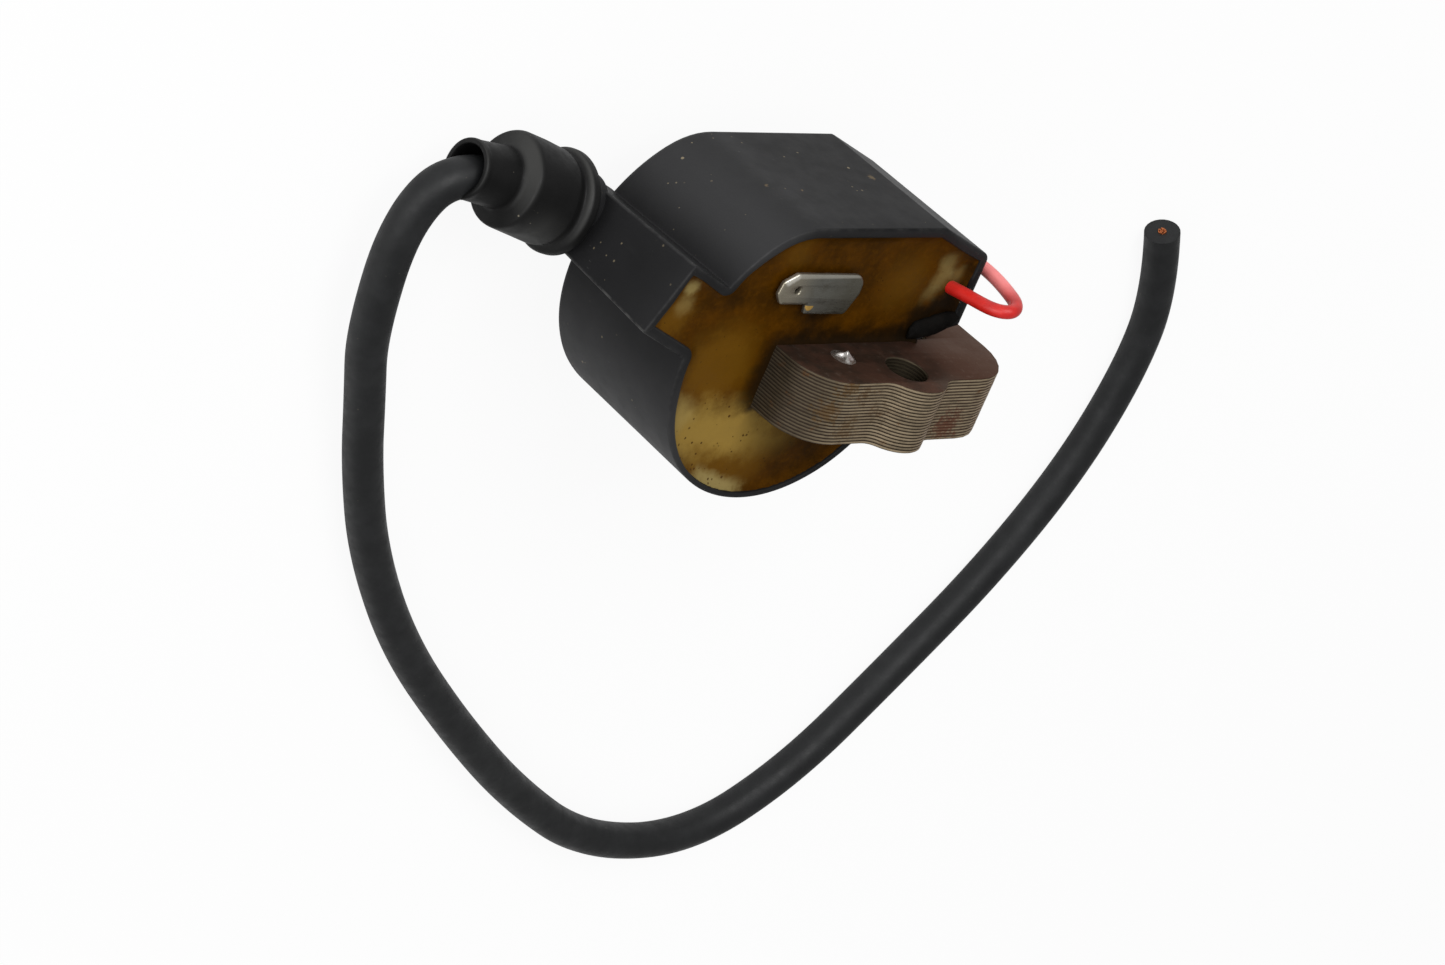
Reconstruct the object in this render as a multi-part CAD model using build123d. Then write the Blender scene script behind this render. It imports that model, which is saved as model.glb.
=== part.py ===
from build123d import *
import math
import os

# Ignition coil for a small two-stroke engine, in millimetres.
#
# Everything is set out in the coil's own axes: X runs right across the potting face,
# Y runs up across it, and Z comes straight out of it. X = 0 is the core's left edge,
# Y = 0 is the top of the lamination stack and Z = 0 is the open rim of the case.
# place() then moves the whole assembly so that it stands on its poles at Z = 0.

# ------------------------------------------------------------------ laminated core
lamination_thickness = 0.5
lamination_count = 20
core_width = 40.6
core_leg_width = 10.0
yoke_front = 9.7
yoke_left_radius = 7.0
yoke_right_radius = 8.5
pole_reach = 34.5
flywheel_radius = 46.0
lobe_radius = 6.2
lobe_blend = 3.0
mounting_hole_radius = 3.2
front_hole_x = 19.6
front_hole_z = 6.5
rear_hole_inset = 4.6
rear_hole_z = -17.0
rivet_radius = 1.0
rivet_clearance = 0.05
rivet_head_radius = 1.4
rivet_head_height = 0.6
rivet_flat_share = 0.6
front_rivet_x = 10.0
front_rivet_z = 3.0
rear_rivet_inset = 5.0
rear_rivet_z = -28.0

# ------------------------------------------------------------------ moulded case
case_wall = 1.6
case_depth = 26.8
case_round_radius = 23.1
case_round_x = 5.7
case_round_y = -2.0
case_crown_cut = 2.3
case_right_x = 34.2
case_box_height = 15.8
chamfer_run = 10.2
chamfer_drop = 4.3
case_corner_radius = 1.0
case_shoulder_radius = 13.0
case_rear_edge_radius = 0.8
tower_angle = 24.1
tower_reach = 30.7
tower_shift = 3.3
tower_width = 11.1
tower_overhang = 3.6
tower_root = 12.0
tower_corner_radius = 0.4
tower_face_wall = 0.8
tower_pocket_depth = 16.0
potting_recess = 1.0
leg_window_clearance = 0.2

# ------------------------------------------------------------------ high-tension spout
spout_seat = (-25.3, 8.9)
spout_seat_rise = 2.8
spout_direction = (-0.960, 0.200, -0.170)
spout_pad_radius = 5.3
spout_pad_root = 3.6
spout_radius = 4.8
spout_length = 9.5
lead_clearance = 0.2
spout_bore_depth = 4.0
contact_disc_thickness = 1.0
contact_disc_radius = 2.4
contact_pin_radius = 0.75
contact_pin_length = 5.0
contact_tunnel_length = 14.0

# ------------------------------------------------------------------ rubber boot
boot_length = 17.0
boot_flange_radius = 7.5
boot_flange_thickness = 1.7
boot_groove_radius = 6.6
boot_groove_width = 0.5
boot_barrel_rear_radius = 6.85
boot_barrel_front_radius = 6.65
boot_shoulder_position = 10.8
boot_shoulder_depth = 0.9
boot_sleeve_radius = 4.7
boot_mouth_bore_radius = 4.0
boot_neck_length = 1.2
boot_clearance = 0.1

# ------------------------------------------------------------------ high-tension lead
lead_diameter = 5.8
conductor_radius = 0.85
conductor_clearance = 0.1
lead_start = -1.5
lead_first_bend = 19.5
arc_share = 0.45

# Route after the boot, chosen by hand: down to the bench, round the front of the coil
# and up its right side. The bench is the plane that the poles stand on.
lead_height = lead_diameter / 2 - pole_reach
lead_route = [
    (-51.0, 0.8, lead_height + 3.6),
    (-45.7, -11.3, lead_height + 2.7),
    (-42.3, -25.4, lead_height + 1.8),
    (-35.8, -37.7, lead_height + 0.8),
    (-27.7, -53.6, lead_height + 0.1),
    (-14.5, -70.5, lead_height),
    (2.5, -86.0, lead_height),
    (21.5, -101.0, lead_height),
    (42.0, -113.0, lead_height),
    (65.5, -115.0, lead_height),
    (83.0, -103.5, lead_height),
    (96.5, -85.0, lead_height),
    (109.5, -66.0, lead_height),
    (118.5, -46.5, lead_height),
    (122.0, -27.5, lead_height),
    (120.5, -12.5, lead_height),
    (114.0, -1.0, lead_height),
]

# ------------------------------------------------------------------ bobbins and windings
leg_clearance = 0.25
bobbin_wall = 0.9
bobbin_corner_radius = 1.2
primary_build = 1.8
primary_flange_lip = 0.4
insulation_thickness = 0.35
layer_clearance = 0.05
secondary_wall = 0.8
secondary_build = 3.8
secondary_flange_lip = 0.4
secondary_sections = 4
bobbin_flange = 1.0
bobbin_front_z = -3.0
bobbin_rear_gap = 0.4
secondary_inset = 1.4

# ------------------------------------------------------------------ ignition module
board_left = 1.0
board_right = 30.0
board_front = -2.6
board_rear = -22.0
board_drop = 7.6
board_thickness = 1.2
capacitor_size = (12.0, 3.8, 9.0)
capacitor_centre = (9.0, -14.0)
transistor_size = (9.0, 4.4, 10.0)
transistor_centre = (24.0, -14.0)
transistor_leg_radius = 0.35
transistor_leg_pitch = 2.5
transistor_leg_length = 1.2
resistor_radius = 1.1
resistor_length = 6.0
resistor_xs = (19.5, 23.5)
resistor_z = -14.0
diode_radius = 1.3
diode_length = 4.5
diode_x = 27.0
diode_z = -7.0
component_gap = 0.1
pin_radius = 0.4
primary_pin_xs = (2.0, 4.2)
secondary_wire_radius = 0.35
secondary_wire_reach = 21.0
earth_strap_width = 3.0
earth_strap_thickness = 0.3
earth_strap_x = 21.5
earth_strap_depth = 1.3
earth_strap_foot_y = -3.5

# ------------------------------------------------------------------ blade terminal
blade_thickness = 0.8
blade_width = 4.8
blade_tip_x = -5.2
blade_top_y = 11.9
blade_shoulder_x = 1.9
blade_base_width = 6.2
blade_base_right_x = 10.5
blade_lift = 0.9
blade_tip_chamfer = 1.3
blade_edge_chamfer = 0.15
blade_hole_radius = 0.7
blade_hole_inset = 3.8
blade_notch_radius = 0.75
blade_base_corner_radius = 2.0
blade_root_width = 5.0
blade_root_depth = 2.4

# ------------------------------------------------------------------ stop wire
stop_wire_diameter = 1.75
stop_wire_core_radius = 0.5
stop_wire_core_clearance = 0.05
stop_wire_clearance = 0.1
stop_wire_exit = (31.3, 8.1)
stop_wire_buried = 3.0
stop_wire_bow = 6.2
stop_wire_side_gap = 3.2
stop_wire_entry_z = -15.0
stop_wire_entry_depth = 3.2
stop_wire_bend_radius = 3.0

# ------------------------------------------------------------------ derived places
stack_height = lamination_thickness * lamination_count
leg_a_x = core_leg_width / 2
leg_b_x = core_width - core_leg_width / 2
leg_y = -stack_height / 2
case_top_y = case_round_y + case_round_radius - case_crown_cut
case_right_bottom_y = case_top_y - case_box_height
potting_z = -potting_recess
case_floor_z = case_wall - case_depth
rear_hole_x = core_width - rear_hole_inset
rear_rivet_x = core_width - rear_rivet_inset
lead_radius = lead_diameter / 2

# Half widths of the nested tubes round the leg, from the steel outwards.
bobbin_inner = core_leg_width / 2 + leg_clearance
bobbin_outer = bobbin_inner + bobbin_wall
primary_outer = bobbin_outer + primary_build
wrap_outer = primary_outer + layer_clearance + insulation_thickness
secondary_inner = wrap_outer + layer_clearance
secondary_outer = secondary_inner + secondary_wall
winding_outer = secondary_outer + secondary_build
bobbin_rear_z = case_floor_z + bobbin_rear_gap
secondary_front_z = bobbin_front_z - secondary_inset
secondary_rear_z = bobbin_rear_z + secondary_inset


def box(x_range, y_range, z_range):
    """Box between two limits on each axis."""
    sizes = [high - low for low, high in (x_range, y_range, z_range)]
    middles = [(low + high) / 2 for low, high in (x_range, y_range, z_range)]
    return Pos(*middles) * Box(*sizes)


def together(shapes):
    """Several separate solids as one shape."""
    joined = shapes[0]
    for shape in shapes[1:]:
        joined += shape
    return joined


def rod(start, end, radius):
    """Round rod from one point to another."""
    line = Vector(*end) - Vector(*start)
    plane = Plane(origin=start, z_dir=line)
    return extrude(plane * Circle(radius), amount=line.length)


def leg_tube(half, z_low, z_high, inner_half=None):
    """Rounded square tube, or block, round the wound leg."""
    def outline(h):
        radius = bobbin_corner_radius + h - bobbin_outer
        side_x = 2 * h
        side_y = side_x + stack_height - core_leg_width
        return RectangleRounded(side_x, side_y, radius)

    section = outline(half)
    if inner_half is not None:
        section -= outline(inner_half)
    plane = Plane(origin=(leg_a_x, leg_y, z_low))
    return extrude(plane * section, amount=z_high - z_low)


# ------------------------------------------------------------------ laminated core
def core_profile():
    """Outline of one lamination in X and Z: a U with a lobe at each mounting hole."""
    leg_height = pole_reach + potting_z
    leg_middle = (potting_z - pole_reach) / 2
    yoke = Pos(core_width / 2, (yoke_front + potting_z) / 2) * Rectangle(core_width, yoke_front - potting_z)
    corners = yoke.vertices().filter_by(lambda v: v.Y > 0).sort_by(Axis.X)
    yoke = fillet(corners[0], yoke_left_radius)
    corners = yoke.vertices().filter_by(lambda v: v.Y > 0 and v.X > core_width - 0.01).sort_by(Axis.Y)
    yoke = fillet(corners[-1], yoke_right_radius)
    yoke += Pos(front_hole_x, front_hole_z) * Circle(lobe_radius)
    blends = yoke.vertices().filter_by(
        lambda v: abs(v.Y - yoke_front) < 0.01 and abs(v.X - front_hole_x) < lobe_radius
    )
    yoke = fillet(blends, lobe_blend)
    legs = [
        Pos(x, leg_middle) * Rectangle(core_leg_width, leg_height) for x in (leg_a_x, leg_b_x)
    ]
    lobe = Pos(rear_hole_x, rear_hole_z) * Circle(lobe_radius)
    lobe &= Pos(core_width, rear_hole_z) * Rectangle(2 * core_leg_width, 3 * lobe_radius)
    profile = yoke + legs + lobe
    blends = profile.vertices().filter_by(
        lambda v: abs(v.X - core_width) < 0.01 and abs(v.Y - rear_hole_z) < lobe_radius
    )
    profile = fillet(blends, lobe_blend)
    # The poles follow the flywheel: the circle passes through both outer pole corners.
    drop = math.sqrt(flywheel_radius**2 - (core_width / 2) ** 2)
    profile -= Pos(core_width / 2, -pole_reach - drop) * Circle(flywheel_radius)
    for x, z in ((front_hole_x, front_hole_z), (rear_hole_x, rear_hole_z)):
        profile -= Pos(x, z) * Circle(mounting_hole_radius)
    for x, z in ((front_rivet_x, front_rivet_z), (rear_rivet_x, rear_rivet_z)):
        profile -= Pos(x, z) * Circle(rivet_radius + rivet_clearance)
    return profile


def make_laminations():
    """The stack, one lamination at a time, from the top down."""
    profile = core_profile()
    plates = {}
    for index in range(lamination_count):
        top = Plane(origin=(0, -index * lamination_thickness, 0), x_dir=(1, 0, 0), z_dir=(0, -1, 0))
        plates[f"lamination_{index + 1:02d}"] = extrude(top * profile, amount=lamination_thickness)
    return plates


def make_rivet(x, z):
    """A shank through the stack with a flattened dome at each end."""
    flat = rivet_head_radius * rivet_flat_share
    top = rivet_head_height
    bottom = -stack_height - rivet_head_height
    section = Polygon(
        (0, bottom),
        (flat, bottom),
        (rivet_head_radius, bottom + rivet_head_height * 0.6),
        (rivet_head_radius, -stack_height),
        (rivet_radius, -stack_height),
        (rivet_radius, 0),
        (rivet_head_radius, 0),
        (rivet_head_radius, top - rivet_head_height * 0.6),
        (flat, top),
        (0, top),
        align=None,
    )
    return Pos(x, 0, z) * revolve(section, axis=Axis.Y)


# ------------------------------------------------------------------ moulded case
tower_out = Vector(-math.cos(math.radians(tower_angle)), math.sin(math.radians(tower_angle)), 0)
tower_down = Vector(-math.sin(math.radians(tower_angle)), -math.cos(math.radians(tower_angle)), 0)
tower_face = Vector(case_round_x, case_round_y, 0) + tower_out * tower_reach + tower_down * tower_shift


def tower_profile(side_inset=0.0, face_inset=0.0):
    """Rectangular block that carries the high-tension spout, in X and Y."""
    length = tower_root - face_inset
    centre = tower_face - tower_out * (face_inset + length / 2)
    block = Rectangle(length, tower_width - 2 * side_inset)
    block = fillet(block.vertices(), tower_corner_radius)
    return Pos(centre.X, centre.Y) * Rot(0, 0, -tower_angle) * block


def case_profile(inset=0.0):
    """Outline of the case in X and Y, drawn in by an inset."""
    round_part = Pos(case_round_x, case_round_y) * Circle(case_round_radius - inset)
    top = case_top_y - inset
    right = case_right_x - inset
    bottom = case_right_bottom_y + inset
    # A chamfer's inner corners lie on the bisectors of its outer ones.
    slope = math.atan2(chamfer_drop, chamfer_run)
    start_x = case_right_x - chamfer_run - inset * math.tan(slope / 2)
    end_y = case_top_y - chamfer_drop - inset * math.tan((math.pi / 2 - slope) / 2)
    box_part = Polygon(
        (case_round_x, bottom), (right, bottom), (right, end_y), (start_x, top), (case_round_x, top), align=None
    )
    body = round_part + box_part
    below_top = Pos(case_round_x, top - 2 * case_round_radius) * Rectangle(
        6 * case_round_radius, 4 * case_round_radius
    )
    return body & below_top


def soften_corners(profile, inset):
    """Round the outline's sharp vertical corners."""
    corner_points = [
        (case_right_x - inset, case_right_bottom_y + inset),
        (case_right_x, case_top_y - chamfer_drop),
        (case_right_x - chamfer_run, case_top_y),
    ]
    for x, y in corner_points:
        vertex = min(profile.vertices(), key=lambda v: math.hypot(v.X - x, v.Y - y))
        profile = fillet(vertex, case_corner_radius)
    # The flat top runs into the round wall over a broad shoulder.
    top = case_top_y - inset
    rise = top - case_round_y
    shoulder_x = case_round_x - math.sqrt((case_round_radius - inset) ** 2 - rise**2)
    vertex = min(profile.vertices(), key=lambda v: math.hypot(v.X - shoulder_x, v.Y - top))
    return fillet(vertex, case_shoulder_radius - inset)


spout_axis = Vector(*spout_direction).normalized()
spout_origin = Vector(*spout_seat, spout_seat_rise - case_depth)
spout_plane = Plane(origin=spout_origin, z_dir=spout_axis)


def along_spout(distance):
    """Point on the spout's axis, measured outwards from the seat of the boot."""
    return spout_origin + spout_axis * distance


def spout_cylinder(radius, start, end):
    return rod(tuple(along_spout(start)), tuple(along_spout(end)), radius)


def leg_window():
    """Prism through the case's floor, a clearance larger than the core's leg."""
    clear = leg_window_clearance
    return box(
        (leg_a_x - core_leg_width / 2 - clear, leg_a_x + core_leg_width / 2 + clear),
        (-stack_height - clear, clear),
        (-2 * case_depth, 2 * case_depth),
    )


def yoke_notch():
    """Notch in the rim, where the core's yoke crosses the case's round wall."""
    clear = leg_window_clearance
    return box((leg_a_x, core_width), (-stack_height - clear, clear), (potting_z, 1))


def free_leg_space():
    """Prism round the core's outer leg, which passes outside the case."""
    clear = leg_window_clearance
    return box(
        (core_width - core_leg_width - clear, core_width + clear),
        (-stack_height - clear, clear),
        (-2 * case_depth, 1),
    )


def wire_entry():
    """Hole in the right wall for the far end of the stop wire."""
    radius = stop_wire_diameter / 2 + stop_wire_clearance
    y = stop_wire_exit[1]
    return rod((case_right_x - 2 * case_wall, y, stop_wire_entry_z), (case_right_x + 1, y, stop_wire_entry_z), radius)


def case_cavity():
    """Space that the resin fills: round the windings, in the tower and back from the contact."""
    profile = soften_corners(case_profile(case_wall), case_wall)
    cavity = extrude(Plane.XY.offset(case_floor_z) * profile, amount=-case_floor_z)
    cavity += extrude(Plane.XY * tower_profile(case_wall, tower_face_wall), amount=-tower_pocket_depth)
    return cavity + spout_cylinder(contact_disc_radius, -contact_tunnel_length, -spout_bore_depth)


def make_case():
    outline = soften_corners(case_profile(), 0)
    body = extrude(Plane.XY * outline, amount=-case_depth)
    rear_edges = body.edges().group_by(Axis.Z)[0]
    body = fillet(rear_edges, case_rear_edge_radius)
    body += extrude(Plane.XY * tower_profile(), amount=-(case_depth + tower_overhang))
    body += spout_cylinder(spout_pad_radius, -spout_pad_root, 0)
    body += spout_cylinder(spout_radius, -spout_pad_root, spout_length)
    body -= case_cavity()
    body -= spout_cylinder(lead_radius + lead_clearance, -spout_bore_depth, spout_length + 1)
    body -= leg_window()
    body -= yoke_notch()
    body -= free_leg_space()
    body -= wire_entry()
    return body


# ------------------------------------------------------------------ bobbins and windings
def make_primary_bobbin():
    flange_half = primary_outer + primary_flange_lip
    tube = leg_tube(bobbin_outer, bobbin_rear_z, bobbin_front_z, bobbin_inner)
    front = leg_tube(flange_half, bobbin_front_z - bobbin_flange, bobbin_front_z, bobbin_inner)
    rear = leg_tube(flange_half, bobbin_rear_z, bobbin_rear_z + bobbin_flange, bobbin_inner)
    return tube + front + rear


def make_primary_winding():
    return leg_tube(
        primary_outer,
        bobbin_rear_z + bobbin_flange + layer_clearance,
        bobbin_front_z - bobbin_flange - layer_clearance,
        bobbin_outer + layer_clearance,
    )


def make_insulation_wrap():
    return leg_tube(
        wrap_outer,
        bobbin_rear_z + bobbin_flange + layer_clearance,
        bobbin_front_z - bobbin_flange - layer_clearance,
        primary_outer + layer_clearance,
    )


def secondary_flange_zs():
    """Rear face of each flange of the sectioned bobbin, rear to front."""
    first = secondary_rear_z
    last = secondary_front_z - bobbin_flange
    return [first + (last - first) * i / secondary_sections for i in range(secondary_sections + 1)]


def make_secondary_bobbin():
    bobbin = leg_tube(secondary_outer, secondary_rear_z, secondary_front_z, secondary_inner)
    for z in secondary_flange_zs():
        bobbin += leg_tube(winding_outer + secondary_flange_lip, z, z + bobbin_flange, secondary_inner)
    return bobbin


def make_secondary_winding():
    starts = secondary_flange_zs()
    sections = [
        leg_tube(
            winding_outer,
            rear + bobbin_flange + layer_clearance,
            front - layer_clearance,
            secondary_outer + layer_clearance,
        )
        for rear, front in zip(starts, starts[1:])
    ]
    return together(sections)


def wound_block():
    """Everything that the bobbins and windings fill, without the leg's bore."""
    primary = leg_tube(primary_outer + primary_flange_lip, bobbin_rear_z, bobbin_front_z)
    secondary = leg_tube(winding_outer + secondary_flange_lip, secondary_rear_z, secondary_front_z)
    return primary + secondary


# ------------------------------------------------------------------ ignition module
board_y = case_top_y - board_drop
board_top = board_y + board_thickness


def make_board():
    board = box((board_left, board_right), (board_y, board_top), (board_rear, board_front))
    edges = board.edges().filter_by(Axis.Y)
    return chamfer(edges, 0.5)


def make_capacitor():
    length, height, depth = capacitor_size
    x, z = capacitor_centre
    body = box((x - length / 2, x + length / 2), (board_top, board_top + height), (z - depth / 2, z + depth / 2))
    return fillet(body.edges().filter_by(Axis.Z), 0.6)


def make_transistor():
    """Power transistor under the board, with its three legs up to it."""
    width, height, depth = transistor_size
    x, z = transistor_centre
    top = board_y - transistor_leg_length
    body = box((x - width / 2, x + width / 2), (top - height, top), (z - depth / 2, z + depth / 2))
    body = chamfer(body.edges().filter_by(Axis.Z), 0.4)
    for step in (-1, 0, 1):
        leg_x = x + step * transistor_leg_pitch
        leg_z = z + depth / 4
        body += rod((leg_x, top - 0.5, leg_z), (leg_x, board_y, leg_z), transistor_leg_radius)
    return body


def axial_component(x, z, radius, length):
    """Cylinder lying on the board along Z, with a lead bent down to the board at each end."""
    y = board_top + component_gap + radius
    body = rod((x, y, z - length / 2), (x, y, z + length / 2), radius)
    for side in (-1, 1):
        tip = z + side * (length / 2 + 1.0)
        body += rod((x, y, z + side * (length / 2 - 0.3)), (x, y, tip), pin_radius / 2)
        body += rod((x, y + pin_radius / 2, tip), (x, board_top, tip), pin_radius / 2)
    return body


def make_resistors():
    return together([axial_component(x, resistor_z, resistor_radius, resistor_length) for x in resistor_xs])


def make_diode():
    return axial_component(diode_x, diode_z, diode_radius, diode_length)


def make_primary_pins():
    """Pins from the bobbin's front flange up to the board."""
    flange_top = leg_y + primary_outer + primary_flange_lip + (stack_height - core_leg_width) / 2
    z = bobbin_front_z - bobbin_flange / 2
    return together([rod((x, flange_top, z), (x, board_y, z), pin_radius) for x in primary_pin_xs])


def make_earth_strap():
    """Copper strip from the board down to the back of the yoke."""
    left = earth_strap_x - earth_strap_width / 2
    right = left + earth_strap_width
    strip_z = potting_z - earth_strap_depth
    thick = earth_strap_thickness
    strip = box((left, right), (earth_strap_foot_y, board_y), (strip_z - thick, strip_z))
    foot = box((left, right), (earth_strap_foot_y, earth_strap_foot_y + thick), (strip_z - thick, potting_z))
    link = box((left, right), (board_y - thick, board_y), (board_front - 1.5, strip_z))
    return strip + foot + link


# ------------------------------------------------------------------ high-tension parts
def make_contact():
    disc = spout_cylinder(contact_disc_radius, -spout_bore_depth - contact_disc_thickness, -spout_bore_depth)
    pin = spout_cylinder(contact_pin_radius, -spout_bore_depth, -spout_bore_depth + contact_pin_length)
    tip = pin.edges().filter_by(GeomType.CIRCLE).sort_by(Axis.X)[0]
    return disc + chamfer(tip, contact_pin_radius * 0.6)


def make_secondary_wire(winding, bobbin):
    """Wire from the contact's back to the winding's rear section."""
    start = -spout_bore_depth - contact_disc_thickness
    return spout_cylinder(secondary_wire_radius, -secondary_wire_reach, start) - winding - bobbin


def make_boot():
    shoulder = boot_shoulder_position
    sleeve_start = shoulder + boot_shoulder_depth
    bore = spout_radius + boot_clearance
    neck = lead_radius + boot_clearance
    groove_start = boot_flange_thickness
    groove_end = groove_start + boot_groove_width
    neck_end = spout_length + boot_clearance + boot_neck_length
    outline = [
        (bore, 0),
        (boot_flange_radius, 0),
        (boot_flange_radius, groove_start),
        (boot_groove_radius, groove_start + 0.2),
        (boot_groove_radius, groove_end),
        (boot_barrel_rear_radius, groove_end + 0.4),
        (boot_barrel_front_radius, shoulder - 0.4),
        (boot_barrel_front_radius - 0.4, shoulder),
        (boot_sleeve_radius + 0.3, sleeve_start - 0.4),
        (boot_sleeve_radius, sleeve_start),
        (boot_sleeve_radius, boot_length - 0.3),
        (boot_sleeve_radius - 0.3, boot_length),
        (boot_mouth_bore_radius, boot_length),
        (neck, neck_end + 1.5),
        (neck, spout_length + boot_clearance),
        (bore, spout_length + boot_clearance),
    ]
    # The profile is drawn with its radius along local X and its length along local Y.
    side = Vector(0, 0, 1) - spout_axis * spout_axis.Z
    section_plane = Plane(origin=spout_origin, x_dir=side, z_dir=side.cross(spout_axis))
    section = section_plane * Polygon(*outline, align=None)
    return revolve(section, axis=Axis(spout_origin, spout_axis))


def lead_points():
    return [along_spout(lead_start), along_spout(lead_first_bend)] + [Vector(*p) for p in lead_route]


def bend_radii(points):
    """Largest arc that each corner's two runs allow, by the share of the shorter run."""
    radii = []
    for before, corner, after in zip(points, points[1:], points[2:]):
        arriving = corner - before
        leaving = after - corner
        half_turn = math.radians(arriving.get_angle(leaving)) / 2
        shorter = min(arriving.length, leaving.length)
        radii.append(arc_share * shorter / math.tan(half_turn))
    return radii


def tube_along(points, radii, outer, inner=0.0):
    """Round tube, or solid wire, along straight runs joined by tangent arcs."""
    path = FilletPolyline(*points, radius=radii)
    start = Plane(origin=path @ 0, z_dir=path % 0)
    section = Circle(outer)
    if inner > 0:
        section -= Circle(inner)
    tube = sweep(start * section, path=path)
    expected = math.pi * (outer**2 - inner**2) * path.length
    print(f"tube length {path.length:.1f} volume ratio {tube.volume / expected:.4f} least radius {min(radii):.1f}")
    return tube


def make_lead():
    points = lead_points()
    radii = bend_radii(points)
    print("lead bend radii", [round(r, 1) for r in radii])
    return tube_along(points, radii, lead_radius, conductor_radius + conductor_clearance)


def make_lead_conductor():
    """Stranded core, from the tip of the contact pin to the cut end."""
    points = lead_points()
    radii = bend_radii(points)
    points[0] = along_spout(contact_pin_length - spout_bore_depth + conductor_clearance)
    return tube_along(points, radii, conductor_radius)


# ------------------------------------------------------------------ stop wire
def stop_wire_points():
    """Out of the potting, over the rim and back through the case's right wall."""
    x, y = stop_wire_exit
    side_x = case_right_x + stop_wire_side_gap
    return [
        Vector(x, y, potting_z - stop_wire_buried),
        Vector(x, y, stop_wire_bow),
        Vector(side_x, y, stop_wire_bow),
        Vector(side_x, y, stop_wire_entry_z),
        Vector(case_right_x - case_wall - stop_wire_entry_depth, y, stop_wire_entry_z),
    ]


def stop_wire_radii():
    span = case_right_x + stop_wire_side_gap - stop_wire_exit[0]
    widest = min(stop_wire_bend_radius, span * 0.49)
    return [widest, widest, stop_wire_bend_radius]


def make_stop_wire():
    inner = stop_wire_core_radius + stop_wire_core_clearance
    return tube_along(stop_wire_points(), stop_wire_radii(), stop_wire_diameter / 2, inner)


def make_stop_wire_core():
    return tube_along(stop_wire_points(), stop_wire_radii(), stop_wire_core_radius)


# ------------------------------------------------------------------ blade terminal
def make_blade():
    low = potting_z + blade_lift
    tip_low_y = blade_top_y - blade_width
    base_low_y = blade_top_y - blade_base_width
    outline = Polygon(
        (blade_tip_x, tip_low_y + blade_tip_chamfer),
        (blade_tip_x + blade_tip_chamfer, tip_low_y),
        (blade_shoulder_x, tip_low_y),
        (blade_shoulder_x, base_low_y),
        (blade_base_right_x, base_low_y),
        (blade_base_right_x, blade_top_y),
        (blade_tip_x + blade_tip_chamfer, blade_top_y),
        (blade_tip_x, blade_top_y - blade_tip_chamfer),
        align=None,
    )
    corner = outline.vertices().sort_by(lambda v: v.X + v.Y)[-1]
    outline = fillet(corner, blade_base_corner_radius)
    outline -= Pos(blade_tip_x + blade_hole_inset, blade_top_y - blade_width / 2) * Circle(blade_hole_radius)
    outline -= Pos(blade_shoulder_x, tip_low_y) * Circle(blade_notch_radius)
    plate = extrude(Plane.XY.offset(low) * outline, amount=blade_thickness)
    top_edges = plate.edges().filter_by(lambda e: e.center().Z > low + blade_thickness - 0.01)
    rim = top_edges.filter_by(lambda e: e.center().X < blade_shoulder_x - 1 and e.geom_type == GeomType.LINE)
    plate = chamfer(rim, blade_edge_chamfer)
    right = blade_base_right_x
    left = right - blade_root_width
    foot_z = potting_z - blade_root_depth
    root = box((left, right), (base_low_y, base_low_y + blade_thickness), (foot_z, low + blade_thickness))
    foot = box((left, right), (base_low_y, board_y), (foot_z, foot_z + blade_thickness))
    return plate + root + foot


# ------------------------------------------------------------------ potting
def make_potting(buried):
    """Resin that fills the case up to its level, round everything buried in it."""
    resin = case_cavity()
    resin -= box((-100, 100), (-100, 100), (potting_z, 1))
    resin -= wound_block()
    resin -= box((0, core_leg_width), (-stack_height, 0), (2 * case_floor_z, 1))
    resin -= free_leg_space()
    for piece in buried:
        resin -= piece
    return resin


def build_parts():
    parts = make_laminations()
    parts["core_rivets"] = together(
        [make_rivet(front_rivet_x, front_rivet_z), make_rivet(rear_rivet_x, rear_rivet_z)]
    )
    parts["case_shell"] = make_case()
    parts["primary_bobbin"] = make_primary_bobbin()
    parts["primary_winding"] = make_primary_winding()
    parts["insulation_wrap"] = make_insulation_wrap()
    parts["secondary_bobbin"] = make_secondary_bobbin()
    parts["secondary_winding"] = make_secondary_winding()
    parts["circuit_board"] = make_board()
    parts["storage_capacitor"] = make_capacitor()
    parts["power_transistor"] = make_transistor()
    parts["resistors"] = make_resistors()
    parts["rectifier_diode"] = make_diode()
    parts["primary_pins"] = make_primary_pins()
    parts["earth_strap"] = make_earth_strap()
    parts["high_tension_contact"] = make_contact()
    parts["secondary_wire"] = make_secondary_wire(parts["secondary_winding"], parts["secondary_bobbin"])
    parts["blade_terminal"] = make_blade()
    parts["stop_wire_insulation"] = make_stop_wire()
    parts["stop_wire_core"] = make_stop_wire_core()
    buried = [
        parts[name]
        for name in (
            "circuit_board",
            "storage_capacitor",
            "power_transistor",
            "resistors",
            "rectifier_diode",
            "primary_pins",
            "earth_strap",
            "secondary_wire",
            "high_tension_contact",
            "blade_terminal",
        )
    ]
    buried.append(tube_along(stop_wire_points(), stop_wire_radii(), stop_wire_diameter / 2))
    parts["potting_resin"] = make_potting(buried)
    parts["lead_boot"] = make_boot()
    parts["high_tension_lead"] = make_lead()
    parts["lead_conductor"] = make_lead_conductor()
    return parts


cord_names = ("high_tension_lead", "lead_conductor")


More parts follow.
